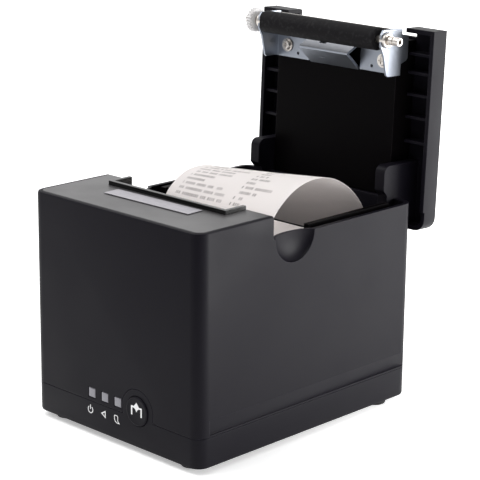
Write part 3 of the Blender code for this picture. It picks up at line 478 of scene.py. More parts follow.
def make_finishes(case, paper):
    shell, edge, grain = tuple(case.shell_colour), case.edge_highlight_width, case.grain_size
    inner, sheet = (0.0022, 0.0018, 0.0021), tuple(paper.sheet_colour)
    plate = (0.022, 0.0200, 0.0220)
    FINISHES.update({
        "case": moulded("spark_textured_case", shell, case.shell_gloss, grain, edge, 3.0,
                        specular=0.09),
        "inner": moulded("satin_inside", inner, 0.42, grain, edge, 5.0, specular=0.02),
        "plate": moulded("fine_grained_plate", plate, 0.38, grain * 0.6, edge, specular=0.9,
                         depth=0.00002),
        "gloss": moulded("polished_bezel", (0.003, 0.003, 0.003), 0.20, grain, edge * 0.5, 2.0,
                         specular=0.30, depth=0.000004),
        "zinc": sheet_metal("zinc_plated_sheet", (0.27, 0.29, 0.33), 0.38, "X"),
        "nickel": turned_metal("nickel_plate", (0.66, 0.62, 0.58), 0.26),
        "aluminium": sheet_metal("mill_aluminium", (0.70, 0.71, 0.73), 0.38, "X"),
        "spring": turned_metal("spring_wire", (0.52, 0.52, 0.54), 0.28),
        "connector": plain_plastic("connector_plastic", (0.014, 0.014, 0.015), 0.45),
        "gold": turned_metal("gold_contact", (0.85, 0.60, 0.24), 0.24),
        "foot": plain_plastic("foot_rubber", (0.010, 0.010, 0.010), 0.85, 0.003, 0.0006),
        "acetal": acetal(),
        "rubber": ground_rubber(),
        "lens": lens(),
        "film": silver_film(),
        "board": circuit_board(),
        "ceramic": ceramic(),
        "card": card(),
        "roll": wound_paper(sheet),
        "strip": printed_paper(sheet, paper.row_pitch, paper.dash_pitch),
        "ink": ink(),
    })


SLOT_FINISHES = {
    "black_case": "case", "black_inner": "inner", "panel_black": "plate",
    "window_grey": "lens", "sticker": "film", "steel": "zinc", "nickel": "nickel",
    "aluminium": "aluminium", "spring_steel": "spring", "roller_rubber": "rubber",
    "white_plastic": "acetal", "ceramic": "ceramic", "board_green": "board",
    "port_black": "connector", "paper": "roll", "card": "card", "foot_rubber": "foot",
}
# Nodes that are polished where the others of their slot are not.
NODE_FINISHES = {"exit_bezel": "gloss", "power_rocker": "gloss"}


# ---------------------------------------------------------------- shapes

def link(thing):
    bpy.context.scene.collection.objects.link(thing)
    return thing


def as_piece(name, bm, finish, swing=UNMOVED, sharp_deg=32.0):
    """Turns a bmesh into a finished object at the origin, its place in its mesh."""
    bm.transform(swing)
    bmesh.ops.recalc_face_normals(bm, faces=bm.faces)
    mesh = bpy.data.meshes.new(name)
    bm.to_mesh(mesh)
    bm.free()
    mesh.materials.append(FINISHES[finish])
    mesh.shade_smooth()
    mesh.set_sharp_from_angle(angle=math.radians(sharp_deg))
    return link(bpy.data.objects.new(name, mesh))


def settle(thing, body, slot, *nodes):
    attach(thing, body)
    if nodes:
        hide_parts(*nodes)
    return thing


def turned(bm, origin, axis, profile, segments, closed=False):
    """Revolves a profile of (millimetres along, radius) round a line through origin."""
    aim = Matrix.Translation(origin) @ axis.to_track_quat("Z", "Y").to_matrix().to_4x4()
    rings = []
    for along, radius in profile:
        if radius == 0.0:
            rings.append([bm.verts.new(aim @ Vector((0.0, 0.0, along * MM)))])
            continue
        ring = []
        for step in range(segments):
            turn = math.tau * step / segments
            spoke = Vector((math.cos(turn), math.sin(turn), 0.0)) * radius
            ring.append(bm.verts.new(aim @ ((spoke + UP * along) * MM)))
        rings.append(ring)
    pairs = list(zip(rings, rings[1:]))
    if closed:
        pairs.append((rings[-1], rings[0]))
    for near, far in pairs:
        for step in range(segments):
            after = (step + 1) % segments
            corners = [near[step % len(near)], near[after % len(near)],
                       far[after % len(far)], far[step % len(far)]]
            bm.faces.new(list(dict.fromkeys(corners)))


def rounded_rod(length_from, length_to, radius, ease, steps=4):
    """Profile of a closed rod whose two end edges are rounded."""
    near, far = [], []
    for step in range(steps + 1):
        turn = math.pi / 2 * step / steps
        back, inset = ease * (1 - math.sin(turn)), ease * (1 - math.cos(turn))
        near.append((length_from + back, radius - inset))
        far.append((length_to - back, radius - inset))
    return [(length_from, 0.0), *reversed(near), *far, (length_to, 0.0)]


def ring_profile(length_from, length_to, outer, inner, ease):
    """Closed profile of a ring with its four edges chamfered."""
    return [(length_from, inner + ease), (length_from, outer - ease),
            (length_from + ease, outer), (length_to - ease, outer),
            (length_to, outer - ease), (length_to, inner + ease),
            (length_to - ease, inner), (length_from + ease, inner)]


def soft_block(middle, size, ease, steps, profile=0.5):
    """A block whose edges are eased over a width, round at a profile of a half."""
    bm = bmesh.new()
    bmesh.ops.create_cube(bm, size=1.0)
    bm.transform(Matrix.Translation(middle) @ Matrix.Diagonal((*size, 1.0)))
    bmesh.ops.bevel(bm, geom=bm.edges[:], offset=ease, segments=steps, profile=profile,
                    affect="EDGES")
    return bm


def raised_shape(bm, outline, front_y, back_y):
    """Flat shape on the front face, given by its (x, z) outline."""
    front = [bm.verts.new(at(x, front_y, z)) for x, z in outline]
    rear = [bm.verts.new(at(x, back_y, z)) for x, z in outline]
    bm.faces.new(front)
    bm.faces.new(list(reversed(rear)))
    count = len(outline)
    for step in range(count):
        after = (step + 1) % count
        bm.faces.new((front[step], rear[step], rear[after], front[after]))


def stroke(points, width):
    """Outline of a line of even width through (x, z) points, its corners mitred."""
    half, left, right = width / 2, [], []
    spots = [Vector(point) for point in points]
    for number, spot in enumerate(spots):
        before = spots[max(0, number - 1)]
        after = spots[min(len(spots) - 1, number + 1)]
        first = (spot - before) if number else (after - spot)
        second = (after - spot) if number < len(spots) - 1 else first
        first, second = first.normalized(), second.normalized()
        normal = Vector((-first.y, first.x)) + Vector((-second.y, second.x))
        normal.normalize()
        reach = half / max(0.35, normal.dot(Vector((-first.y, first.x))))
        left.append(tuple(spot + normal * reach))
        right.append(tuple(spot - normal * reach))
    return left + right[::-1]


def arc_points(x, z, radius, first_deg, last_deg, steps):
    turns = [math.radians(first_deg + (last_deg - first_deg) * step / steps)
             for step in range(steps + 1)]
    return [(x + radius * math.cos(turn), z + radius * math.sin(turn)) for turn in turns]


# ---------------------------------------------------------------- node trees

class Tree:
    """A geometry node tree being made, with named inputs."""

    def __init__(self, name, inputs):
        self.tree = bpy.data.node_groups.new(name, "GeometryNodeTree")
        self.tree.interface.new_socket("Geometry", in_out="OUTPUT",
                                       socket_type="NodeSocketGeometry")
        for label, kind in inputs.items():
            self.tree.interface.new_socket(label, in_out="INPUT",
                                           socket_type="NodeSocket" + kind)
        self.given = self.tree.nodes.new("NodeGroupInput").outputs

    def node(self, kind, values=None, **settings):
        made = self.tree.nodes.new(kind)
        for label, value in settings.items():
            setattr(made, label, value)
        for socket, value in (values or {}).items():
            sources = value if isinstance(value, list) else [value]
            for source in sources:
                if isinstance(source, bpy.types.NodeSocket):
                    self.tree.links.new(source, made.inputs[socket])
                else:
                    made.inputs[socket].default_value = source
        return made.outputs

    def maths(self, operation, first, second=0.0):
        return self.node("ShaderNodeMath", {0: first, 1: second}, operation=operation)[0]

    def finish(self, geometry):
        """Realises what was instanced, gives it its finish and ends the tree."""
        real = self.node("GeometryNodeRealizeInstances", {"Geometry": geometry})[0]
        coated = self.node("GeometryNodeSetMaterial",
                           {"Geometry": real, "Material": self.given["Finish"]})[0]
        self.node("NodeGroupOutput", {"Geometry": coated})
        return self.tree


def slab(tree, curves, width):
    """Closes flat curves into a solid that stands on them."""
    flat = tree.node("GeometryNodeFillCurve", {"Curve": curves}, mode="TRIANGLES")[0]
    raised = tree.node("GeometryNodeExtrudeMesh",
                       {"Mesh": flat, "Offset Scale": width, "Individual": False})[0]
    under = tree.node("GeometryNodeFlipFaces", {"Mesh": flat})[0]
    both = tree.node("GeometryNodeJoinGeometry", {"Geometry": [raised, under]})[0]
    return tree.node("GeometryNodeMergeByDistance", {"Geometry": both, "Distance": 1e-6})[0]


# How far a gear's hub stands out of its toothed rim on each side, in millimetres.
HUB_PROUD = 0.1


def toothed_wheel_tree():
    """Gear in millimetres: a toothed rim drawn out to its width, on a hub a little prouder."""
    tree = Tree("toothed_wheel", {"Teeth": "Int", "Tip Radius": "Float", "Root Radius": "Float",
                                  "Bore Radius": "Float", "Width": "Float",
                                  "Hub Radius": "Float", "Hub Width": "Float",
                                  "Finish": "Material"})
    given = tree.given
    points_each = 8
    count = tree.maths("MULTIPLY", given["Teeth"], points_each)
    rim = tree.node("GeometryNodeCurvePrimitiveCircle", {"Resolution": count, "Radius": 1.0})[0]
    number = tree.node("GeometryNodeInputIndex")[0]
    inside = tree.maths("MODULO", number, float(points_each))
    off_top = tree.maths("ABSOLUTE", tree.maths("SUBTRACT", inside, points_each / 2))
    share = tree.node("ShaderNodeMapRange", {"Value": off_top, "From Min": 1.0, "From Max": 3.0,
                                             "To Min": 1.0, "To Max": 0.0})[0]
    depth = tree.maths("SUBTRACT", given["Tip Radius"], given["Root Radius"])
    radius = tree.maths("ADD", given["Root Radius"], tree.maths("MULTIPLY", share, depth))
    spot = tree.node("GeometryNodeInputPosition")[0]
    moved = tree.node("ShaderNodeVectorMath", {0: spot, "Scale": radius}, operation="SCALE")[0]
    teeth = tree.node("GeometryNodeSetPosition", {"Geometry": rim, "Position": moved})[0]
    reach = tree.maths("ADD", given["Bore Radius"], given["Hub Radius"])
    opening = tree.node("GeometryNodeCurvePrimitiveCircle",
                        {"Resolution": 48, "Radius": tree.maths("MULTIPLY", reach, 0.5)})[0]
    wheel = slab(tree, tree.node("GeometryNodeJoinGeometry", {"Geometry": [teeth, opening]})[0],
                 tree.maths("SUBTRACT", given["Width"], 2 * HUB_PROUD))
    lift = tree.node("ShaderNodeCombineXYZ", {"Z": HUB_PROUD})[0]
    wheel = tree.node("GeometryNodeTransform", {"Geometry": wheel, "Translation": lift})[0]
    bore = tree.node("GeometryNodeCurvePrimitiveCircle",
                     {"Resolution": 48, "Radius": given["Bore Radius"]})[0]
    collar = tree.node("GeometryNodeCurvePrimitiveCircle",
                       {"Resolution": 48, "Radius": given["Hub Radius"]})[0]
    hub = slab(tree, tree.node("GeometryNodeJoinGeometry", {"Geometry": [collar, bore]})[0],
               given["Hub Width"])
    return tree.finish(tree.node("GeometryNodeJoinGeometry", {"Geometry": [wheel, hub]})[0])


def pin_row_tree():
    """A row of equal square pins."""
    tree = Tree("pin_row", {"Count": "Int", "Step": "Vector", "Pin": "Vector",
                            "Finish": "Material"})
    given = tree.given
    line = tree.node("GeometryNodeMeshLine", {"Count": given["Count"], "Offset": given["Step"]})[0]
    pin = tree.node("GeometryNodeMeshCube", {"Size": given["Pin"]})[0]
    row = tree.node("GeometryNodeInstanceOnPoints", {"Points": line, "Instance": pin})[0]
    return tree.finish(row)


def spring_tree():
    """A wound wire spring that stands up from its first turn."""
    tree = Tree("wound_spring", {"Turns": "Float", "Radius": "Float", "Length": "Float",
                                 "Wire Radius": "Float", "Finish": "Material"})
    given = tree.given
    path = tree.node("GeometryNodeCurveSpiral", {
        "Resolution": 40, "Rotations": given["Turns"], "Start Radius": given["Radius"],
        "End Radius": given["Radius"], "Height": given["Length"]})[0]
    wire = tree.node("GeometryNodeCurvePrimitiveCircle",
                     {"Resolution": 12, "Radius": given["Wire Radius"]})[0]
    coil = tree.node("GeometryNodeCurveToMesh", {"Curve": path, "Profile Curve": wire,
                                                 "Fill Caps": True})[0]
    return tree.finish(coil)


def screw_row_tree():
    """A row of equal cross-headed screws, each on its washer, heads upwards."""
    tree = Tree("screw_row", {"Count": "Int", "Step": "Vector", "Head Radius": "Float",
                              "Head Height": "Float", "Washer Radius": "Float",
                              "Washer Height": "Float", "Finish": "Material"})
    given = tree.given
    head = tree.node("GeometryNodeMeshCone", {
        "Vertices": 48, "Radius Top": tree.maths("MULTIPLY", given["Head Radius"], 0.82),
        "Radius Bottom": given["Head Radius"], "Depth": given["Head Height"]})[0]
    long_side = tree.maths("MULTIPLY", given["Head Radius"], 1.15)
    short_side = tree.maths("MULTIPLY", given["Head Radius"], 0.24)
    bars = []
    for sides in ((long_side, short_side), (short_side, long_side)):
        size = tree.node("ShaderNodeCombineXYZ", {"X": sides[0], "Y": sides[1],
                                                  "Z": given["Head Height"]})[0]
        bar = tree.node("GeometryNodeMeshCube", {"Size": size})[0]
        high = tree.maths("MULTIPLY", given["Head Height"], 0.95)
        lift = tree.node("ShaderNodeCombineXYZ", {"Z": high})[0]
        bars.append(tree.node("GeometryNodeTransform", {"Geometry": bar, "Translation": lift})[0])
    cut = tree.node("GeometryNodeMeshBoolean", {"Mesh 1": head, "Mesh 2": bars},
                    operation="DIFFERENCE")[0]
    raise_head = tree.node("ShaderNodeCombineXYZ", {"Z": given["Washer Height"]})[0]
    cut = tree.node("GeometryNodeTransform", {"Geometry": cut, "Translation": raise_head})[0]
    washer = tree.node("GeometryNodeMeshCylinder", {
        "Vertices": 48, "Radius": given["Washer Radius"], "Depth": given["Washer Height"]})[0]
    half_up = tree.node("ShaderNodeCombineXYZ",
                        {"Z": tree.maths("MULTIPLY", given["Washer Height"], 0.5)})[0]
    washer = tree.node("GeometryNodeTransform", {"Geometry": washer, "Translation": half_up})[0]
    screw = tree.node("GeometryNodeJoinGeometry", {"Geometry": [cut, washer]})[0]
    line = tree.node("GeometryNodeMeshLine", {"Count": given["Count"], "Offset": given["Step"]})[0]
    return tree.finish(tree.node("GeometryNodeInstanceOnPoints",
                                 {"Points": line, "Instance": screw})[0])


def soft_shading_tree():
    """Shades a solid smooth across its gentle edges and keeps its crisp ones."""
    tree = bpy.data.node_groups.new("soft_shading", "GeometryNodeTree")
    for in_out in ("INPUT", "OUTPUT"):
        tree.interface.new_socket("Geometry", in_out=in_out, socket_type="NodeSocketGeometry")
    start, end = tree.nodes.new("NodeGroupInput"), tree.nodes.new("NodeGroupOutput")
    welded = tree.nodes.new("GeometryNodeMergeByDistance")
    welded.inputs["Distance"].default_value = 1e-6
    faces = tree.nodes.new("GeometryNodeSetShadeSmooth")
    edges = tree.nodes.new("GeometryNodeSetShadeSmooth")
    edges.domain = "EDGE"
    edges.inputs["Shade Smooth"].default_value = False
    bend = tree.nodes.new("GeometryNodeInputMeshEdgeAngle")
    crisp = tree.nodes.new("FunctionNodeCompare")
    crisp.operation = "GREATER_THAN"
    crisp.inputs["B"].default_value = math.radians(28.0)
    tree.links.new(bend.outputs["Unsigned Angle"], crisp.inputs["A"])
    tree.links.new(crisp.outputs["Result"], edges.inputs["Selection"])
    for near, far in ((start, welded), (welded, faces), (faces, edges), (edges, end)):
        tree.links.new(near.outputs["Geometry"], far.inputs["Geometry"])
    return tree


def grown(name, tree, values, matrix):
    """Runs a node tree once and keeps its result as a plain mesh in its place."""
    holder = link(bpy.data.objects.new(name + "_tree", bpy.data.meshes.new(name + "_tree")))
    modifier = holder.modifiers.new("shape", "NODES")
    modifier.node_group = tree
    keys = {item.name: item.identifier for item in tree.interface.items_tree
            if item.item_type == "SOCKET" and item.in_out == "INPUT"}
    for label, value in values.items():
        modifier[keys[label]] = FINISHES[value] if label == "Finish" else value
    shape = holder.evaluated_get(bpy.context.evaluated_depsgraph_get())
    mesh = bpy.data.meshes.new_from_object(shape)
    bpy.data.objects.remove(holder)
    mesh.name = name
    bm = bmesh.new()
    bm.from_mesh(mesh)
    bm.transform(matrix)
    bmesh.ops.recalc_face_normals(bm, faces=bm.faces)
    bm.to_mesh(mesh)
    bm.free()
    mesh.shade_smooth()
    mesh.set_sharp_from_angle(angle=math.radians(30.0))
    return link(bpy.data.objects.new(name, mesh))


def facing(origin, axis, scale=1.0):
    """Places a shape drawn round +Z so that it stands along an axis from a point."""
    turn = axis.to_track_quat("Z", "Y").to_matrix().to_4x4()
    return Matrix.Translation(origin) @ turn @ Matrix.Scale(scale, 4)


# ---------------------------------------------------------------- operators

class PieceOperator:
    """What every operator here shares: its options, and that it makes its pieces once."""
    bl_options = {"REGISTER", "UNDO"}

    def execute(self, context):
        self.make(context.scene)
        return {"FINISHED"}


class PRINTER_OT_finishes(PieceOperator, bpy.types.Operator):
    """Makes every finish and gives it to the solids that stay as they are"""
    bl_idname = "printer.finishes"
    bl_label = "Finishes"

    def make(self, scene):
        make_finishes(scene.printer_case, scene.printer_paper)
        slots = {part["node"]: part["material_slot"] for part in frame["record"]["subparts"]}
        shading = soft_shading_tree()
        for name, thing in NODES.items():
            finish = NODE_FINISHES.get(name, SLOT_FINISHES[slots[name]])
            thing.data.materials.clear()
            thing.data.materials.append(FINISHES[finish])
            thing.modifiers.new("soft shading", "NODES").node_group = shading


# Where the strip's two edges run, in (y, z), from its free front end over the roll.
STRIP_RIGHT = ((73.2, 96.9), (76.4, 107.0), (80.7, 116.1), (88.6, 123.6), (98.0, 129.0),
               (108.0, 131.8), (118.0, 132.0), (128.0, 129.9), (138.0, 125.0), (147.0, 118.0),
               (154.5, 108.5), (158.6, 96.9), (160.2, 88.0))
STRIP_LEFT = ((73.2, 96.9), (74.0, 106.6), (76.4, 115.9), (83.0, 122.0), (90.4, 126.0),
              (98.6, 127.6), (108.0, 127.2), (118.0, 124.6), (128.0, 120.0), (138.0, 114.0),
              (147.0, 107.0), (154.4, 96.9), (157.0, 88.0))


def along_curve(points, share):
    """A place on the smooth curve through (y, z) points, at a share of its spans."""
    spans = len(points) - 1
    number = min(int(share * spans), spans - 1)
    local = share * spans - number
    four = [Vector(points[max(0, min(spans, number + step))]) for step in (-1, 0, 1, 2)]
    before, start, end, after = four
    return 0.5 * ((2 * start) + (end - before) * local
                  + (2 * before - 5 * start + 4 * end - after) * local ** 2
                  + (3 * start - before - 3 * end + after) * local ** 3)


class PRINTER_OT_paper(PieceOperator, bpy.types.Operator):
    """Makes the wound roll, its core and the printed strip that arches out of it"""
    bl_idname = "printer.paper"
    bl_label = "Paper"

    rows = 120
    columns = 24

    def make(self, scene):
        self.roll(scene.printer_mechanism.roller_segments * 2)
        self.strip(scene.printer_paper.thickness)

    def roll(self, segments):
        """The wound paper and, a little narrower, the card tube it is wound on."""
        low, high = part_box("paper_roll")
        half = (high.x - low.x) / 2 / MM
        radius = (high.z - low.z) / 2 / MM
        centre = Vector(JOINTS["roll_spin"]["pos_m"])
        core_low, core_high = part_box("roll_core")
        core = (core_high.z - core_low.z) / 2 / MM
        wall, room, inset = 1.8, 0.25, 0.2
        profile = ring_profile(-half, half, radius, core + room, 0.25)
        bm = bmesh.new()
        turned(bm, centre, ACROSS, profile, segments, closed=True)
        settle(as_piece("wound_paper_roll", bm, "roll"), "roll", "paper", "paper_roll")
        profile = ring_profile(-half + inset, half - inset, core, core - wall, 0.15)
        bm = bmesh.new()
        turned(bm, centre, ACROSS, profile, segments, closed=True)
        settle(as_piece("card_core", bm, "card"), "roll", "card", "roll_core")

    def strip(self, thickness):
        """One sheet whose edges follow their curves, a little cupped and rippled."""
        hollow, wave, ripple_y = 0.35, 0.18, 0.4
        low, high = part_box("receipt_strip")
        half = (high.x - low.x) / 2
        bm = bmesh.new()
        spot = bm.loops.layers.uv.new("strip")
        grid, run, lengths = [], 0.0, []
        for row in range(self.rows + 1):
            share = row / self.rows
            left, right = along_curve(STRIP_LEFT, share), along_curve(STRIP_RIGHT, share)
            line = []
            for column in range(self.columns + 1):
                across = column / self.columns
                y, z = left.lerp(right, across)
                cup = hollow * math.sin(math.pi * across)
                ripple = wave * noise.noise(Vector((across * 3.0, share * 5.0, 0.7)))
                point = at(0.0, y + ripple_y * ripple, z - cup + ripple)
                point.x = -half + 2 * half * across
                line.append(bm.verts.new(point))
            if grid:
                middle = self.columns // 2
                run += (line[middle].co - grid[-1][middle].co).length
            lengths.append(run)
            grid.append(line)
        for row in range(self.rows):
            for column in range(self.columns):
                face = bm.faces.new((grid[row][column], grid[row][column + 1],
                                     grid[row + 1][column + 1], grid[row + 1][column]))
                corners = ((row, column), (row, column + 1), (row + 1, column + 1),
                           (row + 1, column))
                for loop, (line, place) in zip(face.loops, corners):
                    loop[spot].uv = (2 * half * place / self.columns, lengths[line])
        self.thicken(bm, grid, thickness)
        thing = as_piece("printed_strip", bm, "strip", sharp_deg=50.0)
        settle(thing, "root", "paper", "receipt_strip")
        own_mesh(thing)

    def thicken(self, bm, grid, thickness):
        """Gives the sheet its back, and marks the back's faces in a second map."""
        side_map = bm.loops.layers.uv.new("face")
        spot = bm.loops.layers.uv["strip"]
        bm.normal_update()
        twins = {}
        for line in grid:
            for vert in line:
                twins[vert] = bm.verts.new(vert.co - vert.normal * thickness)
        for face in list(bm.faces):
            back = bm.faces.new([twins[vert] for vert in reversed(face.verts)])
            marks = {twins[loop.vert]: loop[spot].uv.copy() for loop in face.loops}
            for loop in back.loops:
                loop[side_map].uv = (1.0, 0.0)
                loop[spot].uv = marks[loop.vert]
        edge = (grid[0] + [line[-1] for line in grid[1:]] + grid[-1][-2::-1]
                + [line[0] for line in grid[-2:0:-1]])
        for near, far in zip(edge, edge[1:] + edge[:1]):
            bm.faces.new((near, far, twins[far], twins[near]))


class PRINTER_OT_platen(PieceOperator, bpy.types.Operator):
    """Makes the rubber roller, its turned shaft, its gear and its two bushes"""
    bl_idname = "printer.platen"
    bl_label = "Platen"

    def make(self, scene):
        segments = scene.printer_mechanism.roller_segments
        centre = Vector(JOINTS["platen_spin"]["pos_m"])
        low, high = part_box("platen_roller")
        half, radius = (high.x - low.x) / 2 / MM, (high.y - low.y) / 2 / MM
        shaft_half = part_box("platen_shaft")[1].x / MM
        shaft, hollow, hollow_depth, ease = 2.5, 1.3, 5.6, 0.3
        profile = ring_profile(-half, half, radius, shaft + 0.05, 0.35)
        bm = bmesh.new()
        turned(bm, centre, ACROSS, profile, segments, closed=True)
        settle(as_piece("rubber_roller", bm, "rubber"), "platen", "roller_rubber",
               "platen_roller")
        floor = shaft - 0.45
        grooves = [place for start, end in ((-55.2, -54.4), (53.6, 54.4))
                   for place in ((start, shaft), (start, floor), (end, floor), (end, shaft))]
        profile = [(-shaft_half, 0.0), (-shaft_half, shaft - ease), (-shaft_half + ease, shaft),
                   *grooves, (shaft_half - ease, shaft), (shaft_half, shaft - ease),
                   (shaft_half, hollow + 0.2), (shaft_half - 0.2, hollow),
                   (shaft_half - hollow_depth, hollow), (shaft_half - hollow_depth - 0.8, 0.0)]
        bm = bmesh.new()
        turned(bm, centre, ACROSS, profile, segments)
        settle(as_piece("turned_shaft", bm, "nickel"), "platen", "nickel", "platen_shaft")
        low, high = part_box("platen_gear")
        tip, width = (high.z - low.z) / 2 / MM, (high.x - low.x) / MM
        wheel = {"Teeth": 24, "Tip Radius": tip, "Root Radius": 5.9,
                 "Bore Radius": shaft + 0.05, "Width": width, "Hub Radius": 4.4,
                 "Hub Width": width, "Finish": "acetal"}
        start = Vector((high.x, centre.y, centre.z))
        gear = grown("platen_drive_gear", toothed_wheel_tree(), wheel, facing(start, -ACROSS, MM))
        settle(gear, "platen", "white_plastic", "platen_gear")
        for label, _ in SIDES:
            low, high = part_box(f"platen_bush_{label}")
            outer = (high.z - low.z) / 2 / MM
            profile = ring_profile(low.x / MM, high.x / MM, outer, shaft + 0.12, 0.35)
            bm = bmesh.new()
            turned(bm, centre, ACROSS, profile, segments, closed=True)
            settle(as_piece(f"turned_bush_{label}", bm, "nickel"), "lid", "nickel",
                   f"platen_bush_{label}")


class PRINTER_OT_drive_gears(PieceOperator, bpy.types.Operator):
    """Makes the idler, the motor pinion and the cutter's pinion inside the printer"""
    bl_idname = "printer.drive_gears"
    bl_label = "Drive gears"

    # node, body, joint, axis, teeth, root radius as a share of the tip's, bore, finish
    wheels = (
        ("idler_gear", "idler", "idler_spin", ACROSS, 48, 0.92, 1.8, "acetal"),
        ("motor_pinion", "motor_wheel", "motor_wheel_spin", ACROSS, 12, 0.78, 0.75, "nickel"),
        ("cutter_pinion", "cutter_wheel", "cutter_wheel_turn", UP, 12, 0.72, 1.0, "acetal"),
    )
    cutter_pinion_width = 1.6

    def make(self, scene):
        tree = toothed_wheel_tree()
        for node, body, joint, axis, teeth, root, bore, finish in self.wheels:
            low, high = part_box(node)
            size = (high - low) / MM
            start = Vector(JOINTS[joint]["pos_m"])
            if axis is ACROSS:
                start.x = low.x
                tip, width, hub_width = size.y / 2, size.x, size.x
            else:
                start.z = low.z
                tip, width, hub_width = size.x / 2, self.cutter_pinion_width, size.z
            values = {"Teeth": teeth, "Tip Radius": tip, "Root Radius": tip * root,
                      "Bore Radius": bore, "Width": width, "Hub Radius": tip * 0.45,
                      "Hub Width": hub_width, "Finish": finish}
            gear = grown(f"cut_{node}", tree, values, facing(start, axis, MM))
            slot = "white_plastic" if finish == "acetal" else "nickel"
            settle(gear, body, slot, node)


class PRINTER_OT_springs(PieceOperator, bpy.types.Operator):
    """Makes the head's two wound springs and the lid's two hinge springs"""
    bl_idname = "printer.springs"
    bl_label = "Springs"

    def make(self, scene):
        tree = spring_tree()
        wire, gap = scene.printer_mechanism.wire_radius, 0.4
        for label, _ in SIDES:
            low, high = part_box(f"head_spring_{label}")
            centre = (low + high) / 2
            start = Vector((centre.x, low.y + wire, centre.z))
            values = {"Turns": 5.0, "Radius": (high.x - low.x) / 2 - wire,
                      "Length": high.y - low.y - 2 * wire, "Wire Radius": wire,
                      "Finish": "spring"}
            spring = grown(f"wound_head_spring_{label}", tree, values, facing(start, BACK))
            settle(spring, "root", "spring_steel", f"head_spring_{label}")
        for label, side in SIDES:
            pin_low, pin_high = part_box(f"hinge_pin_{label}")
            pin_end = pin_low.x if side > 0 else pin_high.x
            start = Vector((pin_end - side * gap * MM, HINGE.y, HINGE.z))
            values = {"Turns": 4.0, "Radius": 2.9 * MM, "Length": 4.2 * MM,
                      "Wire Radius": wire, "Finish": "spring"}
            spring = grown(f"hinge_spring_{label}", tree, values, facing(start, -side * ACROSS))
            settle(spring, "root", "spring_steel")


class PRINTER_OT_screws(PieceOperator, bpy.types.Operator):
    """Makes the bracket's two screws and the underside's four"""
    bl_idname = "printer.screws"
    bl_label = "Screws"

    def make(self, scene):
        tree = screw_row_tree()
        screw_x, screw_y, plate_z = 36.6, 73.0, 105.7
        for label, side in SIDES:
            spot = at(side * screw_x, screw_y, plate_z)
            values = {"Count": 1, "Head Radius": 3.1 * MM, "Head Height": 1.5 * MM,
                      "Washer Radius": 3.9 * MM, "Washer Height": 0.6 * MM, "Finish": "nickel"}
            matrix = LID_SWING @ Matrix.Translation(spot) @ DOWNWARDS
            screw = grown(f"cross_head_screw_{label}", tree, values, matrix)
            settle(screw, "lid", "nickel", f"bracket_screw_{label}")
        apart = 100.0
        for row, y in (("front", 34.0), ("rear", 128.0)):
            values = {"Count": 2, "Step": (apart * MM, 0.0, 0.0), "Head Radius": 2.8 * MM,
                      "Head Height": 1.4 * MM, "Washer Radius": 3.4 * MM,
                      "Washer Height": 0.4 * MM, "Finish": "spring"}
            matrix = Matrix.Translation(at(-apart / 2, y, 0.0)) @ DOWNWARDS
            screws = grown(f"underside_screws_{row}", tree, values, matrix)
            settle(screws, "root", "spring_steel")


# The signs' ink stands this far in front of the front face, and reaches this far into it.
INK_FRONT_Y, INK_BACK_Y = -0.05, 0.2


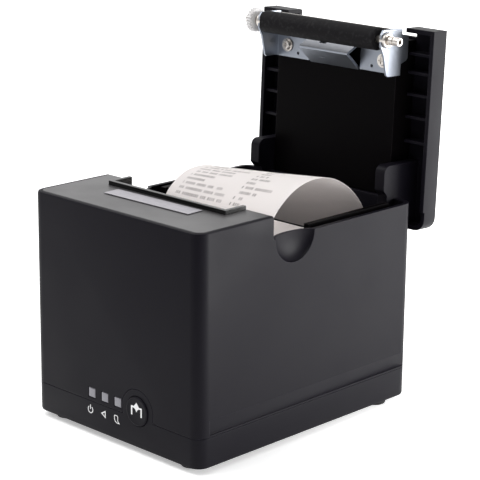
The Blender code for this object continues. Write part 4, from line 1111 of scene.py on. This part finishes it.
class PRINTER_OT_controls(PieceOperator, bpy.types.Operator):
    """Makes the feed button, the three light windows and the signs printed by them"""
    bl_idname = "printer.controls"
    bl_label = "Controls"

    def make(self, scene):
        self.button(scene.printer_mechanism.roller_segments)
        self.windows()
        self.signs()

    def button(self, segments):
        """The round cap with its shallow dish and stem, and the raised sign on its face."""
        low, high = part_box("feed_button")
        x, z = (low.x + high.x) / 2 / MM, ((low.z + high.z) / 2 - BASE_Z) / MM
        radius, proud = (high.x - low.x) / 2 / MM, (FRONT_Y - low.y) / MM
        profile = [(-proud + 0.14, 0.0), (-proud + 0.12, radius * 0.5),
                   (-proud + 0.05, radius * 0.86), (-proud, radius - 0.9),
                   (-proud + 0.06, radius - 0.45), (-proud + 0.28, radius - 0.12),
                   (-proud + 0.6, radius), (2.2, radius), (2.2, 2.0), (6.0, 2.0), (6.0, 0.0)]
        bm = bmesh.new()
        turned(bm, at(x, 0.0, z), BACK, profile, segments)
        settle(as_piece("round_feed_button", bm, "case"), "button", "black_case", "feed_button")
        bm = bmesh.new()
        near, far = -proud + 0.06, -proud + 0.4
        for side in (-1, 1):
            leg = [(x + side * 3.7, z - 2.5), (x + side * 3.7, z + 2.2), (x + side * 1.7, z + 2.2)]
            raised_shape(bm, stroke(leg, 1.0), near, far)
        arrow = [(x, z - 0.4), (x + 0.8, z + 0.9), (x + 2.5, z + 2.1), (x, z + 5.0),
                 (x - 2.5, z + 2.1), (x - 0.8, z + 0.9)]
        raised_shape(bm, arrow, near - 0.005, far)
        settle(as_piece("feed_sign", bm, "ink"), "button", "white_plastic")

    def windows(self):
        """Three small blocks of smoky plastic, rounded at their edges."""
        for label in ("power", "error", "paper"):
            node = f"status_window_{label}"
            low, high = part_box(node)
            bm = soft_block((low + high) / 2, high - low, 0.35 * MM, 3)
            settle(as_piece(f"lens_{label}", bm, "lens"), "root", "window_grey", node)

    def signs(self):
        """The power, warning and paper signs, one below each window."""
        level, line = 12.0, 0.55
        low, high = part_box("status_window_power")
        pitch = (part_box("status_window_error")[0].x - low.x) / MM
        x = (low.x + high.x) / 2 / MM - 1.3
        ring = arc_points(x, level - 0.3, 1.9, 125.0, 415.0, 28)
        stem = [(x, level - 0.1), (x, level + 2.5)]
        self.sign("power_sign", (stroke(ring, line), stroke(stem, line)), apart=0.005)
        x += pitch + 0.4
        outer = [(x - 2.2, level), (x + 1.6, level + 2.2), (x + 1.6, level - 2.2)]
        inner = [(x - 0.9, level), (x + 1.0, level + 1.15), (x + 1.0, level - 1.15)]
        sides = [[outer[side], outer[side - 2], inner[side - 2], inner[side]]
                 for side in range(3)]
        self.sign("warning_sign", sides)
        x += pitch
        level -= 0.35
        page = [(x - 1.6, level + 1.9), (x - 1.1, level + 2.2), (x + 0.5, level + 2.2),
                (x + 1.0, level + 1.7), (x + 1.0, level - 0.6), (x + 1.5, level - 1.5),
                (x + 2.1, level - 1.9), (x + 0.3, level - 1.9), (x - 0.9, level - 1.3),
                (x - 1.6, level - 0.2), (x - 1.6, level + 1.95)]
        self.sign("paper_sign", [stroke(page, line * 0.9)])

    def sign(self, name, outlines, apart=0.0):
        """One printed sign; parts that cross each other stand a hair apart."""
        bm = bmesh.new()
        for number, outline in enumerate(outlines):
            raised_shape(bm, outline, INK_FRONT_Y - apart * number, INK_BACK_Y)
        settle(as_piece(name, bm, "ink"), "root", "white_plastic")


class PRINTER_OT_sockets(PieceOperator, bpy.types.Operator):
    """Makes the contacts inside the rear sockets and the marks on the rocker"""
    bl_idname = "printer.sockets"
    bl_label = "Sockets"

    # socket, how many contacts, pitch, size of one, height above the socket's middle
    contacts = (
        ("network_socket", 8, 1.27, (0.45, 6.0, 0.4), 3.4),
        ("drawer_socket", 6, 1.27, (0.5, 6.0, 0.4), 2.4),
        ("usb_socket", 4, 1.6, (0.7, 5.0, 0.3), 0.95),
        ("serial_socket", 5, 1.9, (0.8, 5.0, 0.8), 1.3),
        ("serial_socket", 4, 1.9, (0.8, 5.0, 0.8), -1.3),
    )
    contact_depth, pin_depth, tongue_depth = 6.4, 9.2, 5.6

    def make(self, scene):
        tree = pin_row_tree()
        for number, (node, count, pitch, pin, above) in enumerate(self.contacts):
            middle, rear_y = self.socket(node)
            first = Vector((middle.x - pitch * MM * (count - 1) / 2,
                            rear_y - self.contact_depth * MM, middle.z + above * MM))
            values = {"Count": count, "Step": (pitch * MM, 0.0, 0.0),
                      "Pin": tuple(part * MM for part in pin), "Finish": "gold"}
            row = grown(f"contacts_{number}_{node}", tree, values, Matrix.Translation(first))
            settle(row, "root", "nickel")
        self.power_pin(scene.printer_mechanism.roller_segments)
        self.tongue()
        self.rocker_marks()

    def socket(self, node):
        """Middle of a socket and the y of its rear face."""
        low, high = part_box(node)
        return (low + high) / 2, high.y

    def power_pin(self, segments):
        middle, rear_y = self.socket("power_socket")
        start = Vector((middle.x, rear_y - self.pin_depth * MM, middle.z))
        bm = bmesh.new()
        turned(bm, start, BACK, rounded_rod(0.0, 7.6, 1.1, 0.5), segments)
        settle(as_piece("power_centre_pin", bm, "nickel"), "root", "nickel")

    def tongue(self):
        """The plastic tongue that carries the USB socket's contacts."""
        middle, rear_y = self.socket("usb_socket")
        spot = Vector((middle.x, rear_y - self.tongue_depth * MM, middle.z))
        bm = soft_block(spot, Vector((6.2, 6.6, 1.5)) * MM, 0.2 * MM, 2, profile=0.0)
        settle(as_piece("usb_tongue", bm, "connector"), "root", "port_black")

    def rocker_marks(self):
        """A bar above the rocker's pivot and a ring below it, tilted with the rocker."""
        joint = Vector(JOINTS["rocker_tilt"]["pos_m"])
        tilt = Matrix.Rotation(math.radians(-JOINTS["rocker_tilt"]["range_deg"][1] / 2), 4, "X")
        swing = Matrix.Translation(joint) @ tilt @ Matrix.Translation(-joint)
        proud, thick, away = 3.48, 0.6, 4.6
        face_y = (joint.y - FRONT_Y) / MM + proud
        x, z = joint.x / MM, (joint.z - BASE_Z) / MM
        bar = stroke([(x - 1.6, z + away), (x + 1.6, z + away)], 0.6)
        ring = stroke(arc_points(x, z - away, 1.5, 0.0, 360.0, 32), 0.5)
        bm = bmesh.new()
        for outline in (bar, ring):
            raised_shape(bm, outline, face_y - thick, face_y)
        settle(as_piece("rocker_marks", bm, "ink", swing), "rocker", "white_plastic")


class PRINTER_OT_feet(PieceOperator, bpy.types.Operator):
    """Makes the four soft feet, each with a rounded rim and a shallow cup below"""
    bl_idname = "printer.feet"
    bl_label = "Feet"

    def make(self, scene):
        for row in ("front", "rear"):
            for label in ("left", "right"):
                node = f"foot_{row}_{label}"
                low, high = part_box(node)
                middle = (low + high) / 2
                radius, tall = (high.x - low.x) / 2 / MM, (high.z - low.z) / MM
                profile = [(0.35, 0.0), (0.35, radius * 0.55), (0.0, radius * 0.68),
                           (0.0, radius - 0.9), (0.25, radius - 0.3), (0.8, radius),
                           (tall - 0.3, radius), (tall, radius - 0.3), (tall, 0.0)]
                bm = bmesh.new()
                start = Vector((middle.x, middle.y, low.z))
                turned(bm, start, UP, profile, scene.printer_mechanism.roller_segments)
                settle(as_piece(f"soft_{node}", bm, "foot"), "root", "foot_rubber", node)


class PRINTER_OT_stage(PieceOperator, bpy.types.Operator):
    """Sets up the camera, the studio floor, the soft lights and the pale surroundings"""
    bl_idname = "printer.stage"
    bl_label = "Stage"

    # the camera: its angles in degrees, its lens, and its place in device millimetres
    azimuth = 44.199
    elevation = 15.611
    roll = 0.616
    lens = 135.67
    sensor = 36.0
    spot = (681.8, -605.5, 366.0)
    # direction, where the change starts and ends on the way towards it, strength there
    room_sides = (
        ((0.50, -0.86, 0.05), 0.1, 0.9, 0.20),
        ((-0.66, 0.70, 0.27), 0.5, 0.95, 1.5),
    )
    floor_radius = 6.0
    floor_gap = 0.0002

    def make(self, scene):
        self.camera(scene)
        self.floor(scene.printer_stage)
        self.lights(scene.printer_stage)
        self.surroundings(scene)
        scene.view_settings.view_transform = "Standard"

    def camera(self, scene):
        around, high = math.radians(self.azimuth), math.radians(self.elevation)
        back = Vector((math.sin(around) * math.cos(high), -math.cos(around) * math.cos(high),
                       math.sin(high)))
        right = (-back).cross(UP).normalized()
        up = right.cross(-back)
        tilt = math.radians(self.roll)
        level = math.cos(tilt) * right + math.sin(tilt) * up
        upright = math.cos(tilt) * up - math.sin(tilt) * right
        matrix = Matrix((level, upright, back)).transposed().to_4x4()
        matrix.translation = at(*self.spot)
        data = bpy.data.cameras.new("camera")
        data.lens = self.lens
        data.sensor_width = self.sensor
        data.clip_start, data.clip_end = 0.05, 20.0
        camera = link(bpy.data.objects.new("camera", data))
        camera.matrix_world = matrix
        scene.camera = camera

    def floor(self, looks):
        colour = looks.floor_colour
        skin = Finish("studio_floor", tuple(colour), 0.7, specular=0.2)
        skin.set("Emission Color", (1.0, 1.0, 1.0, 1.0))
        parts = skin.node("ShaderNodeSeparateXYZ", {"Vector": skin.place}).outputs
        rearward = skin.maths("ADD", parts["X"], parts["Y"])
        skin.set("Emission Strength", skin.between(rearward, looks.floor_glow,
                                                   looks.rear_glow, 0.0, 0.5))
        cloud = skin.noise(0.4, 2.0)
        pale = tuple(min(1.0, channel * 1.03) for channel in colour)
        skin.set("Base Color", skin.blend(cloud, tuple(colour), pale))
        FINISHES["floor"] = skin.material
        bm = bmesh.new()
        bmesh.ops.create_circle(bm, cap_ends=True, segments=96, radius=self.floor_radius)
        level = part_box("foot_front_left")[0].z - self.floor_gap
        floor = as_piece("studio_floor", bm, "floor", Matrix.Translation((0.0, 0.0, level)))

    def lights(self, looks):
        self.panel("side", (1.55, 1.25, 0.32), (1.0, 0.6), looks.side_power)
        self.panel("overhead", (-0.45, -0.50, 1.5), (1.4, 1.4), looks.overhead_power)

    def panel(self, name, spot, size, power):
        data = bpy.data.lights.new(name, "AREA")
        data.shape = "RECTANGLE"
        data.size, data.size_y = size
        data.energy = power
        light = link(bpy.data.objects.new(name, data))
        light.location = spot
        aim = Vector((0.0, 0.0, 0.1)) - light.location
        light.rotation_euler = aim.to_track_quat("-Z", "Y").to_euler()

    def surroundings(self, scene):
        """White room, dimmer in front and brighter behind, so the front face stays dark."""
        world = bpy.data.worlds.new("pale_room")
        world.use_nodes = True
        scene.world = world
        nodes, links = world.node_tree.nodes, world.node_tree.links
        nodes.clear()
        place = nodes.new("ShaderNodeTexCoord")
        strengths = []
        for side, start, end, there in self.room_sides:
            toward = nodes.new("ShaderNodeVectorMath")
            toward.operation = "DOT_PRODUCT"
            toward.inputs[1].default_value = side
            shade = nodes.new("ShaderNodeMapRange")
            shade.interpolation_type = "SMOOTHSTEP"
            shade.inputs["From Min"].default_value = start
            shade.inputs["From Max"].default_value = end
            shade.inputs["To Min"].default_value = 1.0
            shade.inputs["To Max"].default_value = there
            links.new(place.outputs["Generated"], toward.inputs[0])
            links.new(toward.outputs["Value"], shade.inputs["Value"])
            strengths.append(shade.outputs["Result"])
        both = nodes.new("ShaderNodeMath")
        both.operation = "MULTIPLY"
        glow = nodes.new("ShaderNodeBackground")
        out = nodes.new("ShaderNodeOutputWorld")
        links.new(strengths[0], both.inputs[0])
        links.new(strengths[1], both.inputs[1])
        links.new(both.outputs[0], glow.inputs["Strength"])
        links.new(glow.outputs["Background"], out.inputs["Surface"])


class PRINTER_PT_looks(bpy.types.Panel):
    """Lists the printer's settings and pieces"""
    bl_label = "Receipt Printer"
    bl_idname = "PRINTER_PT_looks"
    bl_space_type = "VIEW_3D"
    bl_region_type = "UI"
    bl_category = "Printer"

    def draw(self, context):
        for group in (context.scene.printer_case, context.scene.printer_paper,
                      context.scene.printer_mechanism, context.scene.printer_stage):
            box = self.layout.box()
            for name in group.__annotations__:
                box.prop(group, name)
        for operator in OPERATORS:
            self.layout.operator(operator.bl_idname)


OPERATORS = (PRINTER_OT_finishes, PRINTER_OT_paper, PRINTER_OT_platen, PRINTER_OT_drive_gears,
             PRINTER_OT_springs, PRINTER_OT_screws, PRINTER_OT_controls, PRINTER_OT_sockets,
             PRINTER_OT_feet, PRINTER_OT_stage)
SETTINGS = {"printer_case": CaseLooks, "printer_paper": PaperLooks,
            "printer_mechanism": MechanismLooks, "printer_stage": StageLooks}


def register():
    for group in SETTINGS.values():
        bpy.utils.register_class(group)
    for name, group in SETTINGS.items():
        setattr(bpy.types.Scene, name, PointerProperty(type=group))
    for operator in OPERATORS:
        bpy.utils.register_class(operator)
    bpy.utils.register_class(PRINTER_PT_looks)


def unregister():
    bpy.utils.unregister_class(PRINTER_PT_looks)
    for operator in reversed(OPERATORS):
        bpy.utils.unregister_class(operator)
    for name in SETTINGS:
        delattr(bpy.types.Scene, name)
    for group in SETTINGS.values():
        bpy.utils.unregister_class(group)


def main():
    register()
    for operator in OPERATORS:
        group, name = operator.bl_idname.split(".")
        getattr(getattr(bpy.ops, group), name)()


if __name__ == "__main__":
    main()
